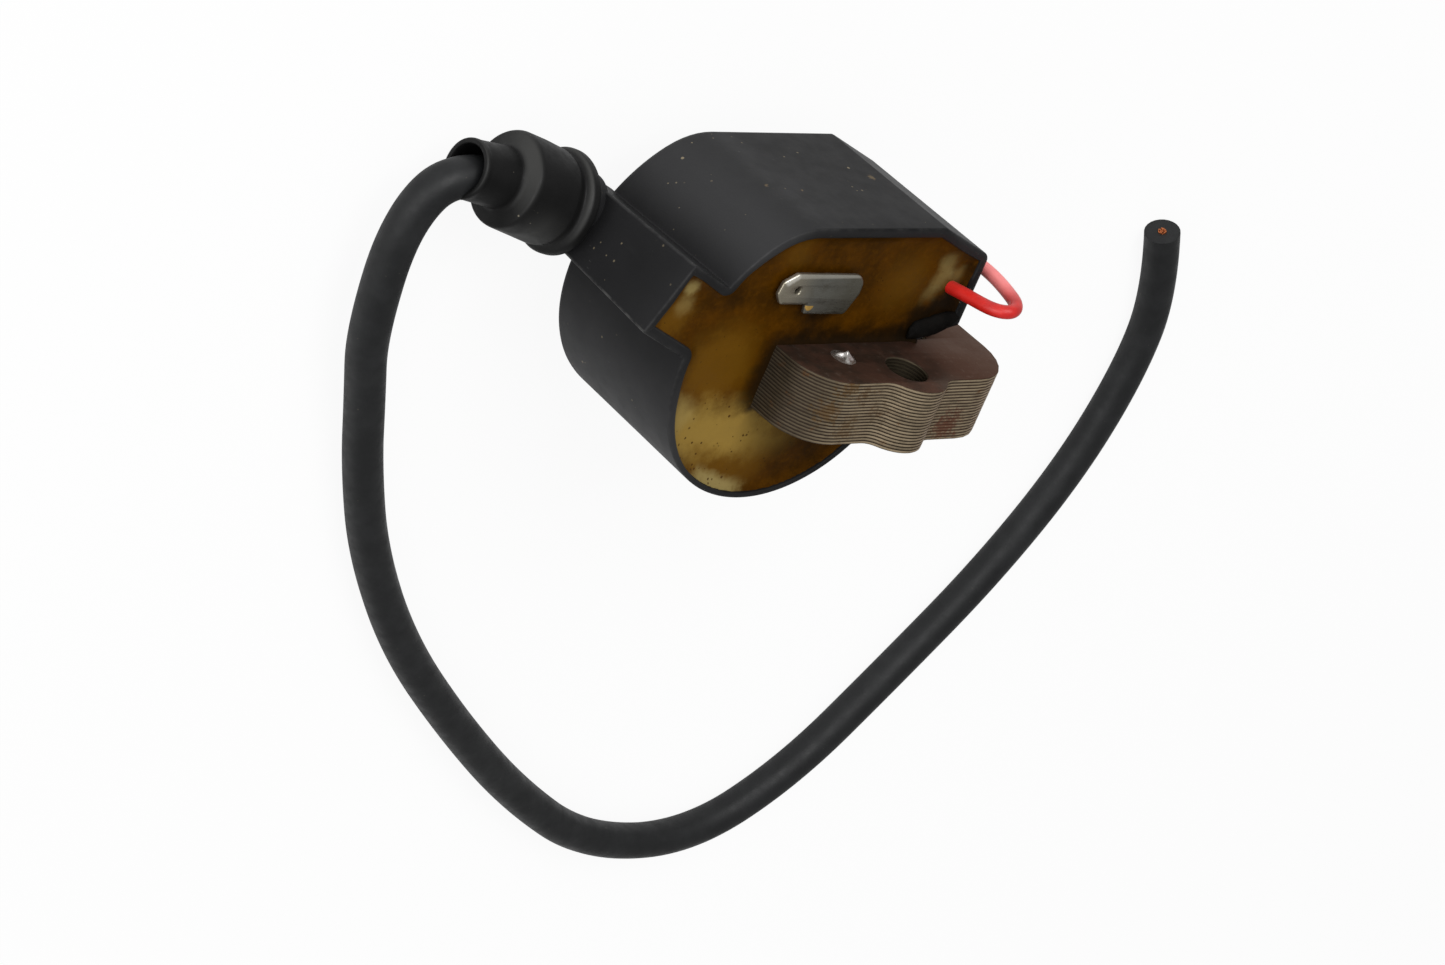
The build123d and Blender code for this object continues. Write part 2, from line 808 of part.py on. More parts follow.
def standing_offset(parts):
    """Move that centres the coil, without its lead, over the origin with its poles on Z = 0."""
    boxes = [shape.bounding_box(optimal=True) for name, shape in parts.items() if name not in cord_names]
    middle_x = (min(b.min.X for b in boxes) + max(b.max.X for b in boxes)) / 2
    middle_y = (min(b.min.Y for b in boxes) + max(b.max.Y for b in boxes)) / 2
    return Vector(-middle_x, -middle_y, pole_reach)


if __name__ == "__main__":
    os.makedirs("parts", exist_ok=True)
    parts = build_parts()
    offset = standing_offset(parts)
    print("offset", round(offset.X, 4), round(offset.Y, 4), round(offset.Z, 4))
    for name, shape in parts.items():
        export_step(Pos(offset.X, offset.Y, offset.Z) * shape, f"parts/{name}.step")
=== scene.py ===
"""Looks of a potted ignition coil for a small two-stroke engine.

Lengths in the classes are millimetres in the coil's own axes: X runs right across the potting face,
Y up across it and Z out of it, from the core's left edge, the top of the stack and the case's rim.
CoilFrame turns them into metres in the row frame.
"""

from __future__ import annotations

import logging
import math
from collections.abc import Callable, Sequence
from dataclasses import dataclass, field
from enum import Enum
from typing import Any

import bmesh
import bpy
import numpy as np
from mathutils import Matrix, Vector
from mathutils.geometry import tessellate_polygon

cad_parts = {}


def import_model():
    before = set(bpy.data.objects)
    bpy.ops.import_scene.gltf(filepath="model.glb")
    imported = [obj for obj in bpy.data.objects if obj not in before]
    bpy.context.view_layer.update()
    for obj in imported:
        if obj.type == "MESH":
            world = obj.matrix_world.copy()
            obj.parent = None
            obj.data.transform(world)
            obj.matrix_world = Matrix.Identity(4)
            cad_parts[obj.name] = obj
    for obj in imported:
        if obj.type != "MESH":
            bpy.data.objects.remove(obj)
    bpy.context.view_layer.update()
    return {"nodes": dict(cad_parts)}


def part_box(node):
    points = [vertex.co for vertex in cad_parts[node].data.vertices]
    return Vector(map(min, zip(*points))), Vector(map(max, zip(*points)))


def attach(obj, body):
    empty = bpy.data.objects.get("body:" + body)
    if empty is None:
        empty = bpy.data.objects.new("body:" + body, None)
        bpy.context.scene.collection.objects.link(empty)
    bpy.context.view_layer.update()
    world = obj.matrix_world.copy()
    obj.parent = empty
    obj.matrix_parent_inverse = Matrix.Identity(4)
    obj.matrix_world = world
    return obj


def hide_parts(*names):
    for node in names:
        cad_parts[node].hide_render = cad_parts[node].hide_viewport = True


LOG = logging.getLogger("ignition_coil")
MM = 0.001
BODY = "root"
NEWTON_STEPS = 40
Array = np.ndarray
Socket = Any
Piece = bpy.types.Object
Material = bpy.types.Material
Pair = tuple[float, float]
Triple = tuple[float, float, float]
Four = tuple[float, float, float, float]
Patch = tuple[float, float, float, float, float]
Stain = tuple[float, float, float, float, Triple]
Waves = tuple[tuple[float, float, int], ...]


# --- Frame and mesh tools ---


@dataclass(frozen=True)
class CoilFrame:
    """Place of the coil's own axes in the row frame."""

    datum: Triple

    @classmethod
    def from_nodes(cls) -> CoilFrame:
        """Read the datum from the top lamination and the case's rim."""
        low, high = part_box("lamination_01")
        return cls((low.x, high.y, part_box("case_shell")[1].z))

    def place(self, points: Array) -> Array:
        """Turn coil points into row points.

        Args:
            points: array (..., 3) in millimetres.

        Returns:
            The same points in metres in the row frame.
        """
        return np.asarray(points, float) * MM + np.array(self.datum)

    def spot(self, x: float, y: float, z: float) -> Triple:
        """A coil point in the millimetres of the materials' coordinates."""
        return tuple((self.place(np.array([x, y, z])) / MM).tolist())


def quads_between(index: Array) -> Array:
    """Array (n, 4) of the quads between each four neighbours of a grid of vertex numbers."""
    corners = (index[:-1, :-1], index[:-1, 1:], index[1:, 1:], index[1:, :-1])
    return np.stack([c.ravel() for c in corners], axis=1)


@dataclass
class Shape:
    """Vertices and faces gathered from several surfaces, with one wear value per vertex, which on the boot
    also holds a painted reflection.
    """

    points: list[Array] = field(default_factory=list)
    wear: list[Array] = field(default_factory=list)
    quads: list[Array] = field(default_factory=list)
    triangles: list[Array] = field(default_factory=list)
    count: int = 0

    def take(self, points: Array, wear: Array | None) -> int:
        """Add vertices and return the index of the first one.

        Args:
            points: array (..., 3).
            wear: one value for each point, or None for no wear.

        Returns:
            Index of the first vertex.
        """
        start = self.count
        self.points.append(points.reshape(-1, 3))
        size = len(self.points[-1])
        self.wear.append(np.zeros(size) if wear is None else np.asarray(wear, float).ravel())
        self.count += size
        return start

    def grid(
        self, points: Array, closed_rows: bool = False, flip: bool = False, wear: Array | None = None
    ) -> None:
        """Add a surface given by a grid of points, one quad between each four neighbours.

        The columns run round the surface, so the last one joins the first.

        Args:
            points: array (rows, columns, 3).
            closed_rows: whether the last row joins the first, too.
            flip: whether to turn the faces over.
            wear: array (rows, columns) of edge wear from 0 to 1.
        """
        rows, columns = points.shape[:2]
        start = self.take(points, wear)
        index = np.arange(rows * columns).reshape(rows, columns) + start
        if closed_rows:
            index = np.vstack([index, index[:1]])
        quads = quads_between(np.hstack([index, index[:, :1]]))
        self.quads.append(quads[:, ::-1] if flip else quads)

    def flat(self, loops: Sequence[Array], flip: bool = False) -> None:
        """Add a flat face bounded by an outer loop and any holes, cut into triangles.

        Args:
            loops: arrays (n, 3), the outer loop first.
            flip: whether to turn the faces over.
        """
        start = self.take(np.vstack(loops), None)
        cut = tessellate_polygon([[Vector(p) for p in loop] for loop in loops])
        triangles = np.array(cut, int) + start
        everything = np.vstack(self.points)
        a, b, c = (everything[triangles[:, k]] for k in range(3))
        normal = np.cross(b - a, c - a)
        main = normal[np.argmax(np.abs(normal).sum(axis=1))]
        turned = (normal @ main) < 0
        triangles[turned] = triangles[turned][:, ::-1]
        self.triangles.append(triangles[:, ::-1] if flip else triangles)

    def fan(self, ring: Array, tip: Array, flip: bool = False) -> None:
        """Close a ring of points with triangles to one tip.

        Args:
            ring: array (n, 3).
            tip: the point they meet at.
            flip: whether to turn the faces over.
        """
        start = self.take(np.vstack([ring, tip[None]]), None)
        around = np.arange(len(ring))
        triangles = np.stack([around, np.roll(around, -1), np.full(len(ring), len(ring))], axis=1) + start
        self.triangles.append(triangles[:, ::-1] if flip else triangles)

    def build(self, name: str, frame: CoilFrame | None) -> Piece:
        """Make the Blender object, with its place in its mesh.

        Args:
            name: the object's name.
            frame: the coil's frame, or None when the points are already row points.

        Returns:
            The new object.
        """
        points = np.vstack(self.points)
        placed = frame.place(points) if frame else points
        faces: list[list[int]] = []
        for group in (*self.quads, *self.triangles):
            faces.extend(group.tolist())
        mesh = bpy.data.meshes.new(name)
        mesh.from_pydata(placed.tolist(), [], faces)
        mesh.attributes.new("wear", "FLOAT", "POINT").data.foreach_set(
            "value", np.concatenate(self.wear).astype(np.float32)
        )
        mesh.validate()
        mesh.shade_smooth()
        piece = bpy.data.objects.new(name, mesh)
        bpy.context.scene.collection.objects.link(piece)
        return piece


def weld(piece: Piece, distance: float = 1e-6) -> Piece:
    """Merge the doubled vertices of a piece's mesh where its surfaces meet.

    Args:
        piece: the piece.
        distance: greatest gap that is closed, in metres.

    Returns:
        The piece.
    """
    grid = bmesh.new()
    grid.from_mesh(piece.data)
    bmesh.ops.remove_doubles(grid, verts=grid.verts, dist=distance)
    bmesh.ops.recalc_face_normals(grid, faces=grid.faces)
    grid.to_mesh(piece.data)
    grid.free()
    piece.data.shade_smooth()
    return piece


def sharpen(piece: Piece, degrees: float = 50.0) -> None:
    """Shade a welded piece sharply across edges steeper than an angle."""
    piece.data.set_sharp_from_angle(angle=math.radians(degrees))


def finish_piece(piece: Piece, material: Material, slot: str, replaces: Sequence[str] = ()) -> Piece:
    """Dress a piece, fix it to the coil's one body, hide the CAD nodes that it stands for and log its finish.

    Args:
        piece: the piece.
        material: its material.
        slot: name of its finish.
        replaces: CAD nodes that it stands for.

    Returns:
        The piece.
    """
    piece.data.materials.clear()
    piece.data.materials.append(material)
    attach(piece, BODY)
    if replaces:
        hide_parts(*replaces)
    LOG.info("%s: %s", piece.name, slot)
    return piece


# --- Outlines made of lines and arcs ---


@dataclass(frozen=True)
class Side:
    """One side of an outline: a line, or an arc when it has a radius. Material lies on its left."""

    point: Pair
    direction: Pair = (0.0, 0.0)
    radius: float = 0.0
    turn: int = 1
    samples: int = 12

    def inset_radius(self, inset: float) -> float:
        """Radius of the arc drawn in by an inset."""
        return self.radius - self.turn * inset

    def inset_point(self, inset: float) -> Array:
        """A point of the line drawn in by an inset, or the arc's centre.

        Args:
            inset: how far the side is drawn in.

        Returns:
            Array (2,).
        """
        point = np.array(self.point)
        if self.radius:
            return point
        tangent = np.array(self.direction)
        return point + inset * np.array([-tangent[1], tangent[0]])

    def nearest(self, target: Array, inset: float) -> Array:
        """The nearest point of the inset side to a target.

        Args:
            target: a point.
            inset: how far the side is drawn in.

        Returns:
            Array (2,).
        """
        base = self.inset_point(inset)
        if self.radius:
            away = target - base
            return base + away / np.linalg.norm(away) * self.inset_radius(inset)
        tangent = np.array(self.direction)
        return base + tangent * ((target - base) @ tangent)


def crossing(first: Side, second: Side, inset: float, hint: Array) -> Array:
    """Where two inset sides cross, nearest to a hint.

    Newton's steps on the two signed distances, which are exact for lines and quick for arcs.

    Args:
        first: one side.
        second: the next one.
        inset: how far both are drawn in.
        hint: a place near the crossing.

    Returns:
        Array (2,).
    """
    point = np.array(hint, float)
    for _ in range(NEWTON_STEPS):
        distances, slopes = [], []
        for side in (first, second):
            base = side.inset_point(inset)
            if side.radius:
                away = point - base
                length = np.linalg.norm(away)
                distances.append(length - side.inset_radius(inset))
                slopes.append(away / length)
            else:
                normal = np.array([-side.direction[1], side.direction[0]])
                distances.append((point - base) @ normal)
                slopes.append(normal)
        step = np.linalg.lstsq(np.array(slopes), np.array(distances), rcond=None)[0]
        point = point - step
        if np.abs(step).max() < 1e-9:
            break
    return point


@dataclass(frozen=True)
class Outline:
    """A closed outline, its sides in order with the material on their left.

    Corner k joins side k to side k + 1. It has a radius, positive where the material is convex
    and negative where it is hollow, and a rough place from which the search for its centre starts.
    """

    sides: tuple[Side, ...]
    corners: tuple[Triple, ...]
    corner_samples: int = 6
    least_radius: float = 0.03

    def corner_arc(self, index: int, inset: float) -> tuple[Array, Array, Array, float]:
        """Centre, first and last point and radius of a corner's arc at an inset.

        Args:
            index: the corner's number.
            inset: distance into the material.

        Returns:
            The centre, the two points and the radius, negative for a hollow.
        """
        first = self.sides[index]
        second = self.sides[(index + 1) % len(self.sides)]
        radius, hint = self.corners[index][0], np.array(self.corners[index][1:])
        if radius > 0:
            bend = max(radius - inset, self.least_radius)
            centre_inset = inset + bend
        else:
            bend = inset - radius
            centre_inset = radius
        centre = crossing(first, second, centre_inset, hint)
        bend = math.copysign(bend, radius)
        return centre, first.nearest(centre, inset), second.nearest(centre, inset), bend

    def at(self, inset: float = 0.0) -> Array:
        """Points of the outline drawn in by an inset, always as many and in the same order.

        Each side is sampled evenly between its corner arcs, and each arc evenly by angle.

        Args:
            inset: distance into the material.

        Returns:
            Array (n, 2).
        """
        bends = [self.corner_arc(k, inset) for k in range(len(self.sides))]
        parts: list[Array] = []
        for k, side in enumerate(self.sides):
            start, end = bends[k - 1][2], bends[k][1]
            share = np.linspace(0, 1, side.samples, endpoint=False)[:, None]
            if side.radius:
                parts.append(arc_between(side.inset_point(inset), start, end, side.turn, share[:, 0]))
            else:
                parts.append(start + (end - start) * share)
            centre, first, last, bend = bends[k]
            turns = np.linspace(0, 1, self.corner_samples, endpoint=False)
            parts.append(arc_between(centre, first, last, 1 if bend > 0 else -1, turns))
        return np.vstack(parts)


def arc_between(centre: Array, start: Array, end: Array, turn: int, share: Array) -> Array:
    """Points on the arc from start to end round a centre, turning left for 1 and right for -1.

    Args:
        centre: the arc's centre.
        start: its first point.
        end: its last point.
        turn: 1 or -1.
        share: array (n,) of shares of the arc, from 0 to 1.

    Returns:
        Array (n, 2).
    """
    first = math.atan2(*(start - centre)[::-1])
    last = math.atan2(*(end - centre)[::-1])
    sweep = (last - first) % math.tau if turn > 0 else -((first - last) % math.tau)
    if abs(sweep) > math.tau - 1e-4:
        sweep = 0.0
    first_radius = np.linalg.norm(start - centre)
    radii = first_radius + (np.linalg.norm(end - centre) - first_radius) * share
    angles = first + sweep * share
    return centre + np.stack([np.cos(angles) * radii, np.sin(angles) * radii], axis=1)


def ring(centre: Pair, radius: float, samples: int) -> Array:
    """Points of a circle, turning left."""
    angles = np.linspace(0, math.tau, samples, endpoint=False)
    return np.stack([centre[0] + radius * np.cos(angles), centre[1] + radius * np.sin(angles)], axis=1)


@dataclass(frozen=True)
class Profile:
    """Corner points of a section or a path, with each inner corner rounded."""

    points: tuple[Pair, ...]
    rounding: float = 0.3
    samples: int = 5

    def line(self) -> Array:
        """Points along the profile.

        Each inner corner becomes a quadratic curve that starts and ends a rounding away from it,
        or at 0.45 of a shorter side.

        Returns:
            Array (n, 2).
        """
        points = np.array(self.points, float)
        before, corner, after = points[:-2], points[1:-1], points[2:]
        back, ahead = before - corner, after - corner
        back_length = np.linalg.norm(back, axis=1, keepdims=True)
        ahead_length = np.linalg.norm(ahead, axis=1, keepdims=True)
        first = corner + back / back_length * np.minimum(self.rounding, 0.45 * back_length)
        last = corner + ahead / ahead_length * np.minimum(self.rounding, 0.45 * ahead_length)
        t = np.linspace(0, 1, self.samples)[None, :, None]
        curve = (1 - t) ** 2 * first[:, None] + 2 * t * (1 - t) * corner[:, None] + t**2 * last[:, None]
        return np.vstack([points[:1], curve.reshape(-1, 2), points[-1:]])


Sway = Callable[[Array, Array], Array]


def revolved(line: Array, origin: Array, axis: Array, samples: int, sway: Sway | None = None) -> Array:
    """Surface of revolution: each (distance, radius) of a line is carried round an axis.

    Args:
        line: array (n, 2) of distance along the axis and radius.
        origin: where the axis starts.
        axis: its direction.
        samples: points round the axis.
        sway: factor on the radius from the distance and the angle.

    Returns:
        Array (n, samples, 3).
    """
    axis = axis / np.linalg.norm(axis)
    side = np.cross(axis, [0.0, 0.0, 1.0] if abs(axis[2]) < 0.9 else [1.0, 0.0, 0.0])
    side /= np.linalg.norm(side)
    other = np.cross(axis, side)
    angles = np.linspace(0, math.tau, samples, endpoint=False)[None, :]
    radius = line[:, 1:2] * (1.0 if sway is None else sway(line[:, :1], angles))
    radius = np.broadcast_to(radius, (len(line), samples))
    around = np.cos(angles)[..., None] * side + np.sin(angles)[..., None] * other
    return origin + line[:, :1, None] * axis + radius[..., None] * around


def cubic_path(points: Array, samples: int) -> Array:
    """Uniform cubic B-spline that starts and ends at its end points.

    Each span is the usual blend of four neighbouring control points, the ends tripled.

    Args:
        points: array (n, 3) of control points.
        samples: number of points along the path.

    Returns:
        Array (samples, 3).
    """
    control = np.vstack([points[:1], points[:1], points, points[-1:], points[-1:]])
    spans = len(control) - 3
    t = np.linspace(0, spans - 1e-9, samples)
    k = t.astype(int)
    f = (t - k)[:, None]
    weights = ((1 - f) ** 3, 3 * f**3 - 6 * f**2 + 4, -3 * f**3 + 3 * f**2 + 3 * f + 1, f**3)
    return sum(w * control[k + i] for i, w in enumerate(weights)) / 6


def tube(path: Array, radius: float | Array, samples: int = 20) -> Array:
    """Round tube along a path, its section carried without twist.

    The section's first direction is the cross product of the tangent and one fixed direction,
    the normal of the plane that the path keeps closest to.

    Args:
        path: array (n, 3).
        radius: one radius, or one for each point.
        samples: points round the section.

    Returns:
        Array (n, samples, 3).
    """
    tangent = np.gradient(path, axis=0)
    tangent /= np.linalg.norm(tangent, axis=1, keepdims=True)
    spread = path - path.mean(axis=0)
    flat_normal = np.linalg.svd(spread, full_matrices=False)[2][2]
    side = np.cross(tangent, flat_normal)
    side /= np.linalg.norm(side, axis=1, keepdims=True)
    other = np.cross(tangent, side)
    angles = np.linspace(0, math.tau, samples, endpoint=False)
    wide = np.broadcast_to(np.asarray(radius, float), (len(path),))[:, None, None]
    around = np.cos(angles)[None, :, None] * side[:, None] + np.sin(angles)[None, :, None] * other[:, None]
    return path[:, None] + wide * around


def lumps(points: Array, size: float, seed: int, waves: int = 10) -> Array:
    """Soft random height from -1 to 1: a sum of sine waves in random directions.

    Args:
        points: array (..., k) in millimetres.
        size: the shortest wave's length.
        seed: seed of the directions and phases.
        waves: number of waves.

    Returns:
        Array of the leading shape.
    """
    chance = np.random.default_rng(seed)
    directions = chance.normal(size=(waves, points.shape[-1]))
    directions /= np.linalg.norm(directions, axis=1, keepdims=True)
    lengths = size * chance.uniform(1.0, 3.0, waves)
    phases = chance.uniform(0, math.tau, waves)
    heights = np.sin(points @ (directions / lengths[:, None]).T * math.tau + phases)
    return heights.sum(axis=-1) / math.sqrt(waves) * 0.7


def inside(points: Array, loop: Array) -> Array:
    """Whether points lie in a closed loop, by counting the sides that a ray to the right crosses.

    Args:
        points: array (n, 2).
        loop: array (m, 2).

    Returns:
        Array (n,) of booleans.
    """
    x, y = points[:, 0:1], points[:, 1:2]
    x0, y0 = loop[:, 0], loop[:, 1]
    x1, y1 = np.roll(x0, -1), np.roll(y0, -1)
    spans = (y0 > y) != (y1 > y)
    rise = np.where(y1 == y0, 1e-12, y1 - y0)
    hits = x < (x1 - x0) * (y - y0) / rise + x0
    return (spans & hits).sum(axis=1) % 2 == 1


def distance_to(points: Array, loop: Array) -> Array:
    """Distance from points to the nearest side of a closed loop.

    Args:
        points: array (n, 2).
        loop: array (m, 2).

    Returns:
        Array (n,).
    """
    run = np.roll(loop, -1, axis=0) - loop
    length = np.maximum((run**2).sum(axis=1), 1e-12)
    best = np.empty(len(points))
    at_once = 4000
    for block in np.array_split(np.arange(len(points)), max(1, len(points) // at_once)):
        away = points[block, None] - loop[None]
        share = np.clip((away * run).sum(axis=2) / length, 0, 1)
        best[block] = np.linalg.norm(away - share[..., None] * run, axis=2).min(axis=1)
    return best


# --- Materials ---


class Op(Enum):
    """What a Math node works out."""

    ABSOLUTE = "ABSOLUTE"
    ADD = "ADD"
    DIVIDE = "DIVIDE"
    FLOOR = "FLOOR"
    FRACT = "FRACT"
    LESS_THAN = "LESS_THAN"
    MAXIMUM = "MAXIMUM"
    MULTIPLY = "MULTIPLY"
    SINE = "SINE"
    SQRT = "SQRT"
    SUBTRACT = "SUBTRACT"


class NodeGraph:
    """Short calls for one material's node tree, on Object coordinates in millimetres."""

    def __init__(self, name: str) -> None:
        """Make an empty material.

        Args:
            name: the material's name.
        """
        self.material = bpy.data.materials.new(name)
        self.material.use_nodes = True
        self.tree = self.material.node_tree
        self.tree.nodes.clear()
        self.output = self.add("OutputMaterial")
        scale = self.add("VectorMath", operation="SCALE")
        self.tree.links.new(self.add("TexCoord").outputs["Object"], scale.inputs[0])
        scale.inputs["Scale"].default_value = 1 / MM
        self.place = scale.outputs[0]

    def add(self, kind: str, **settings: Any) -> bpy.types.Node:
        """Add a node and set its properties.

        Args:
            kind: the node's type, without ShaderNode.
            settings: its properties.

        Returns:
            The node.
        """
        node = self.tree.nodes.new("ShaderNode" + kind)
        for key, value in settings.items():
            setattr(node, key, value)
        return node

    def feed(self, socket: Socket, value: Any) -> None:
        """Link a socket to another, or set its value.

        Args:
            socket: an input.
            value: a node's output, or a value.
        """
        if isinstance(value, bpy.types.NodeSocket):
            self.tree.links.new(value, socket)
        else:
            socket.default_value = value

    def math(self, operation: Op, first: Any, second: Any = 0.0) -> Socket:
        """A number worked out from one or two others.

        Args:
            operation: what is worked out.
            first: a socket or a number.
            second: another, where two are needed.

        Returns:
            The result.
        """
        node = self.add("Math", operation=operation.value)
        self.feed(node.inputs[0], first)
        self.feed(node.inputs[1], second)
        return node.outputs[0]

    def times(self, first: Any, second: Any) -> Socket:
        """The product of two numbers."""
        return self.math(Op.MULTIPLY, first, second)

    def minus(self, first: Any, second: Any) -> Socket:
        """The difference of two numbers."""
        return self.math(Op.SUBTRACT, first, second)

    def length(self, first: Socket, second: Socket) -> Socket:
        """The length of a vector from its two parts."""
        squares = [self.times(part, part) for part in (first, second)]
        return self.math(Op.SQRT, self.math(Op.ADD, *squares))

    def moved(self, offset: Triple = (0, 0, 0), stretch: Triple = (1, 1, 1)) -> Socket:
        """The place, shifted and then stretched along the axes.

        Args:
            offset: shift in millimetres.
            stretch: factor along each axis.

        Returns:
            The new place.
        """
        node = self.add("Mapping")
        self.feed(node.inputs["Vector"], self.place)
        node.inputs["Scale"].default_value = stretch
        node.inputs["Location"].default_value = tuple(-o * s for o, s in zip(offset, stretch))
        return node.outputs[0]

    def noise(
        self, size: float, detail: float = 3.0, rough: float = 0.5, place: Socket | None = None
    ) -> Socket:
        """Cloudy noise whose features are about a size in millimetres.

        Args:
            size: size of the features in millimetres.
            detail: number of finer layers.
            rough: strength of the finer layers.
            place: other coordinates than the place.

        Returns:
            A number from 0 to 1.
        """
        node = self.add("TexNoise")
        self.feed(node.inputs["Vector"], place or self.place)
        node.inputs["Scale"].default_value = 1 / size
        node.inputs["Detail"].default_value = detail
        node.inputs["Roughness"].default_value = rough
        return node.outputs["Fac"]

    def cells(self, size: float, place: Socket | None = None) -> bpy.types.Node:
        """Cells of about a size in millimetres.

        Args:
            size: size of a cell in millimetres.
            place: other coordinates than the place.

        Returns:
            The node.
        """
        node = self.add("TexVoronoi")
        self.feed(node.inputs["Vector"], place or self.place)
        node.inputs["Scale"].default_value = 1 / size
        return node

    def step(self, value: Socket, low: float, high: float, start: float = 0.0, end: float = 1.0) -> Socket:
        """Smooth step of a value: start up to low, end beyond high.

        Args:
            value: what is compared.
            low: where the step begins.
            high: where it ends.
            start: result up to low.
            end: result from high.

        Returns:
            The result.
        """
        node = self.add("MapRange", interpolation_type="SMOOTHSTEP")
        self.feed(node.inputs["Value"], value)
        for name, number in (("From Min", low), ("From Max", high), ("To Min", start), ("To Max", end)):
            node.inputs[name].default_value = number
        return node.outputs["Result"]

    def near(self, centre: Triple, inner: float, outer: float, ripple: Socket | None = None) -> Socket:
        """1 within an inner distance of a row point in millimetres, 0 beyond an outer one.

        Args:
            centre: row point in millimetres.
            inner: distance up to which it is 1.
            outer: distance from which it is 0.
            ripple: what is added to the distance.

        Returns:
            A number from 0 to 1.
        """
        node = self.add("VectorMath", operation="DISTANCE")
        self.feed(node.inputs[0], self.place)
        node.inputs[1].default_value = centre
        distance = node.outputs["Value"]
        if ripple is not None:
            distance = self.math(Op.ADD, distance, ripple)
        return self.step(distance, inner, outer, 1.0, 0.0)

    def specks(self, size: float, share: float, radius: float, place: Socket | None = None) -> Socket:
        """Mask of sparse round specks.

        Args:
            size: spacing of the cells in millimetres.
            share: part of the cells that hold a speck.
            radius: the speck's radius as a share of the cell.
            place: other coordinates than the place.

        Returns:
            1 on a speck and 0 elsewhere.
        """
        cells = self.cells(size, place)
        colour = self.add("SeparateColor")
        self.feed(colour.inputs[0], cells.outputs["Color"])
        chosen = self.math(Op.LESS_THAN, colour.outputs[0], share)
        reach = self.times(colour.outputs[1], radius)
        dot = self.math(Op.LESS_THAN, cells.outputs["Distance"], reach)
        return self.times(chosen, dot)

    def mix(self, share: Any, first: Any, second: Any) -> Socket:
        """Colour between two others.

        Args:
            share: share of the second.
            first: a socket or three numbers.
            second: likewise.

        Returns:
            The colour.
        """
        node = self.add("Mix", data_type="RGBA")
        self.feed(node.inputs[0], share)
        for socket, value in ((node.inputs[6], first), (node.inputs[7], second)):
            self.feed(socket, (*value, 1.0) if isinstance(value, tuple) else value)
        return node.outputs[2]

    def blend_number(self, share: Any, first: Any, second: Any) -> Socket:
        """Number between two others.

        Args:
            share: share of the second.
            first: a socket or a number.
            second: likewise.

        Returns:
            The number.
        """
        node = self.add("Mix", data_type="FLOAT")
        self.feed(node.inputs[0], share)
        self.feed(node.inputs[2], first)
        self.feed(node.inputs[3], second)
        return node.outputs[0]

    def axes(self) -> tuple[Socket, Socket, Socket]:
        """The three coordinates of the place.

        Returns:
            X, Y and Z in millimetres.
        """
        node = self.add("SeparateXYZ")
        self.feed(node.inputs[0], self.place)
        return node.outputs[0], node.outputs[1], node.outputs[2]

    def coil_axes(self, frame: CoilFrame) -> tuple[Socket, Socket]:
        """X and Y of the place in the coil's own axes.

        Args:
            frame: the coil's frame.

        Returns:
            X and Y in millimetres.
        """
        x, y, _ = self.axes()
        left, top, _ = frame.spot(0.0, 0.0, 0.0)
        return self.minus(x, left), self.minus(y, top)

    def attribute(self, name: str) -> Socket:
        """A number kept on the mesh."""
        return self.add("Attribute", attribute_name=name).outputs["Fac"]

    def bump(self, height: Socket, depth: float, strength: float = 1.0) -> Socket:
        """Normal from a height, with its depth in millimetres.

        Args:
            height: a number from 0 to 1.
            depth: what a height of 1 stands for, in millimetres.
            strength: how much of it is shown.

        Returns:
            The normal.
        """
        node = self.add("Bump")
        node.inputs["Strength"].default_value = strength
        node.inputs["Distance"].default_value = depth * MM
        self.feed(node.inputs["Height"], height)
        return node.outputs[0]

    def surface(self, colour: Any, roughness: Any, metallic: float, normal: Socket, **fixed: Any) -> Material:
        """Finish the material with a principled surface.

        Args:
            colour: base colour, a socket or three numbers.
            roughness: a socket or a number.
            metallic: how metallic it is.
            normal: the bumped normal.
            fixed: other sockets by name, with underscores for spaces.

        Returns:
            The material.
        """
        shader = self.add("BsdfPrincipled")
        self.feed(shader.inputs["Base Color"], (*colour, 1.0) if isinstance(colour, tuple) else colour)
        self.feed(shader.inputs["Roughness"], roughness)
        shader.inputs["Metallic"].default_value = metallic
        self.feed(shader.inputs["Normal"], normal)
        for name, value in fixed.items():
            shader.inputs[name.replace("_", " ")].default_value = value
        self.tree.links.new(shader.outputs[0], self.output.inputs["Surface"])
        return self.material


def linear(red: int, green: int, blue: int) -> Triple:
    """Linear colour from a display colour of 0 to 255."""
    parts = (np.array([red, green, blue]) / 255.0).tolist()
    return tuple(p / 12.92 if p <= 0.04045 else ((p + 0.055) / 1.055) ** 2.4 for p in parts)


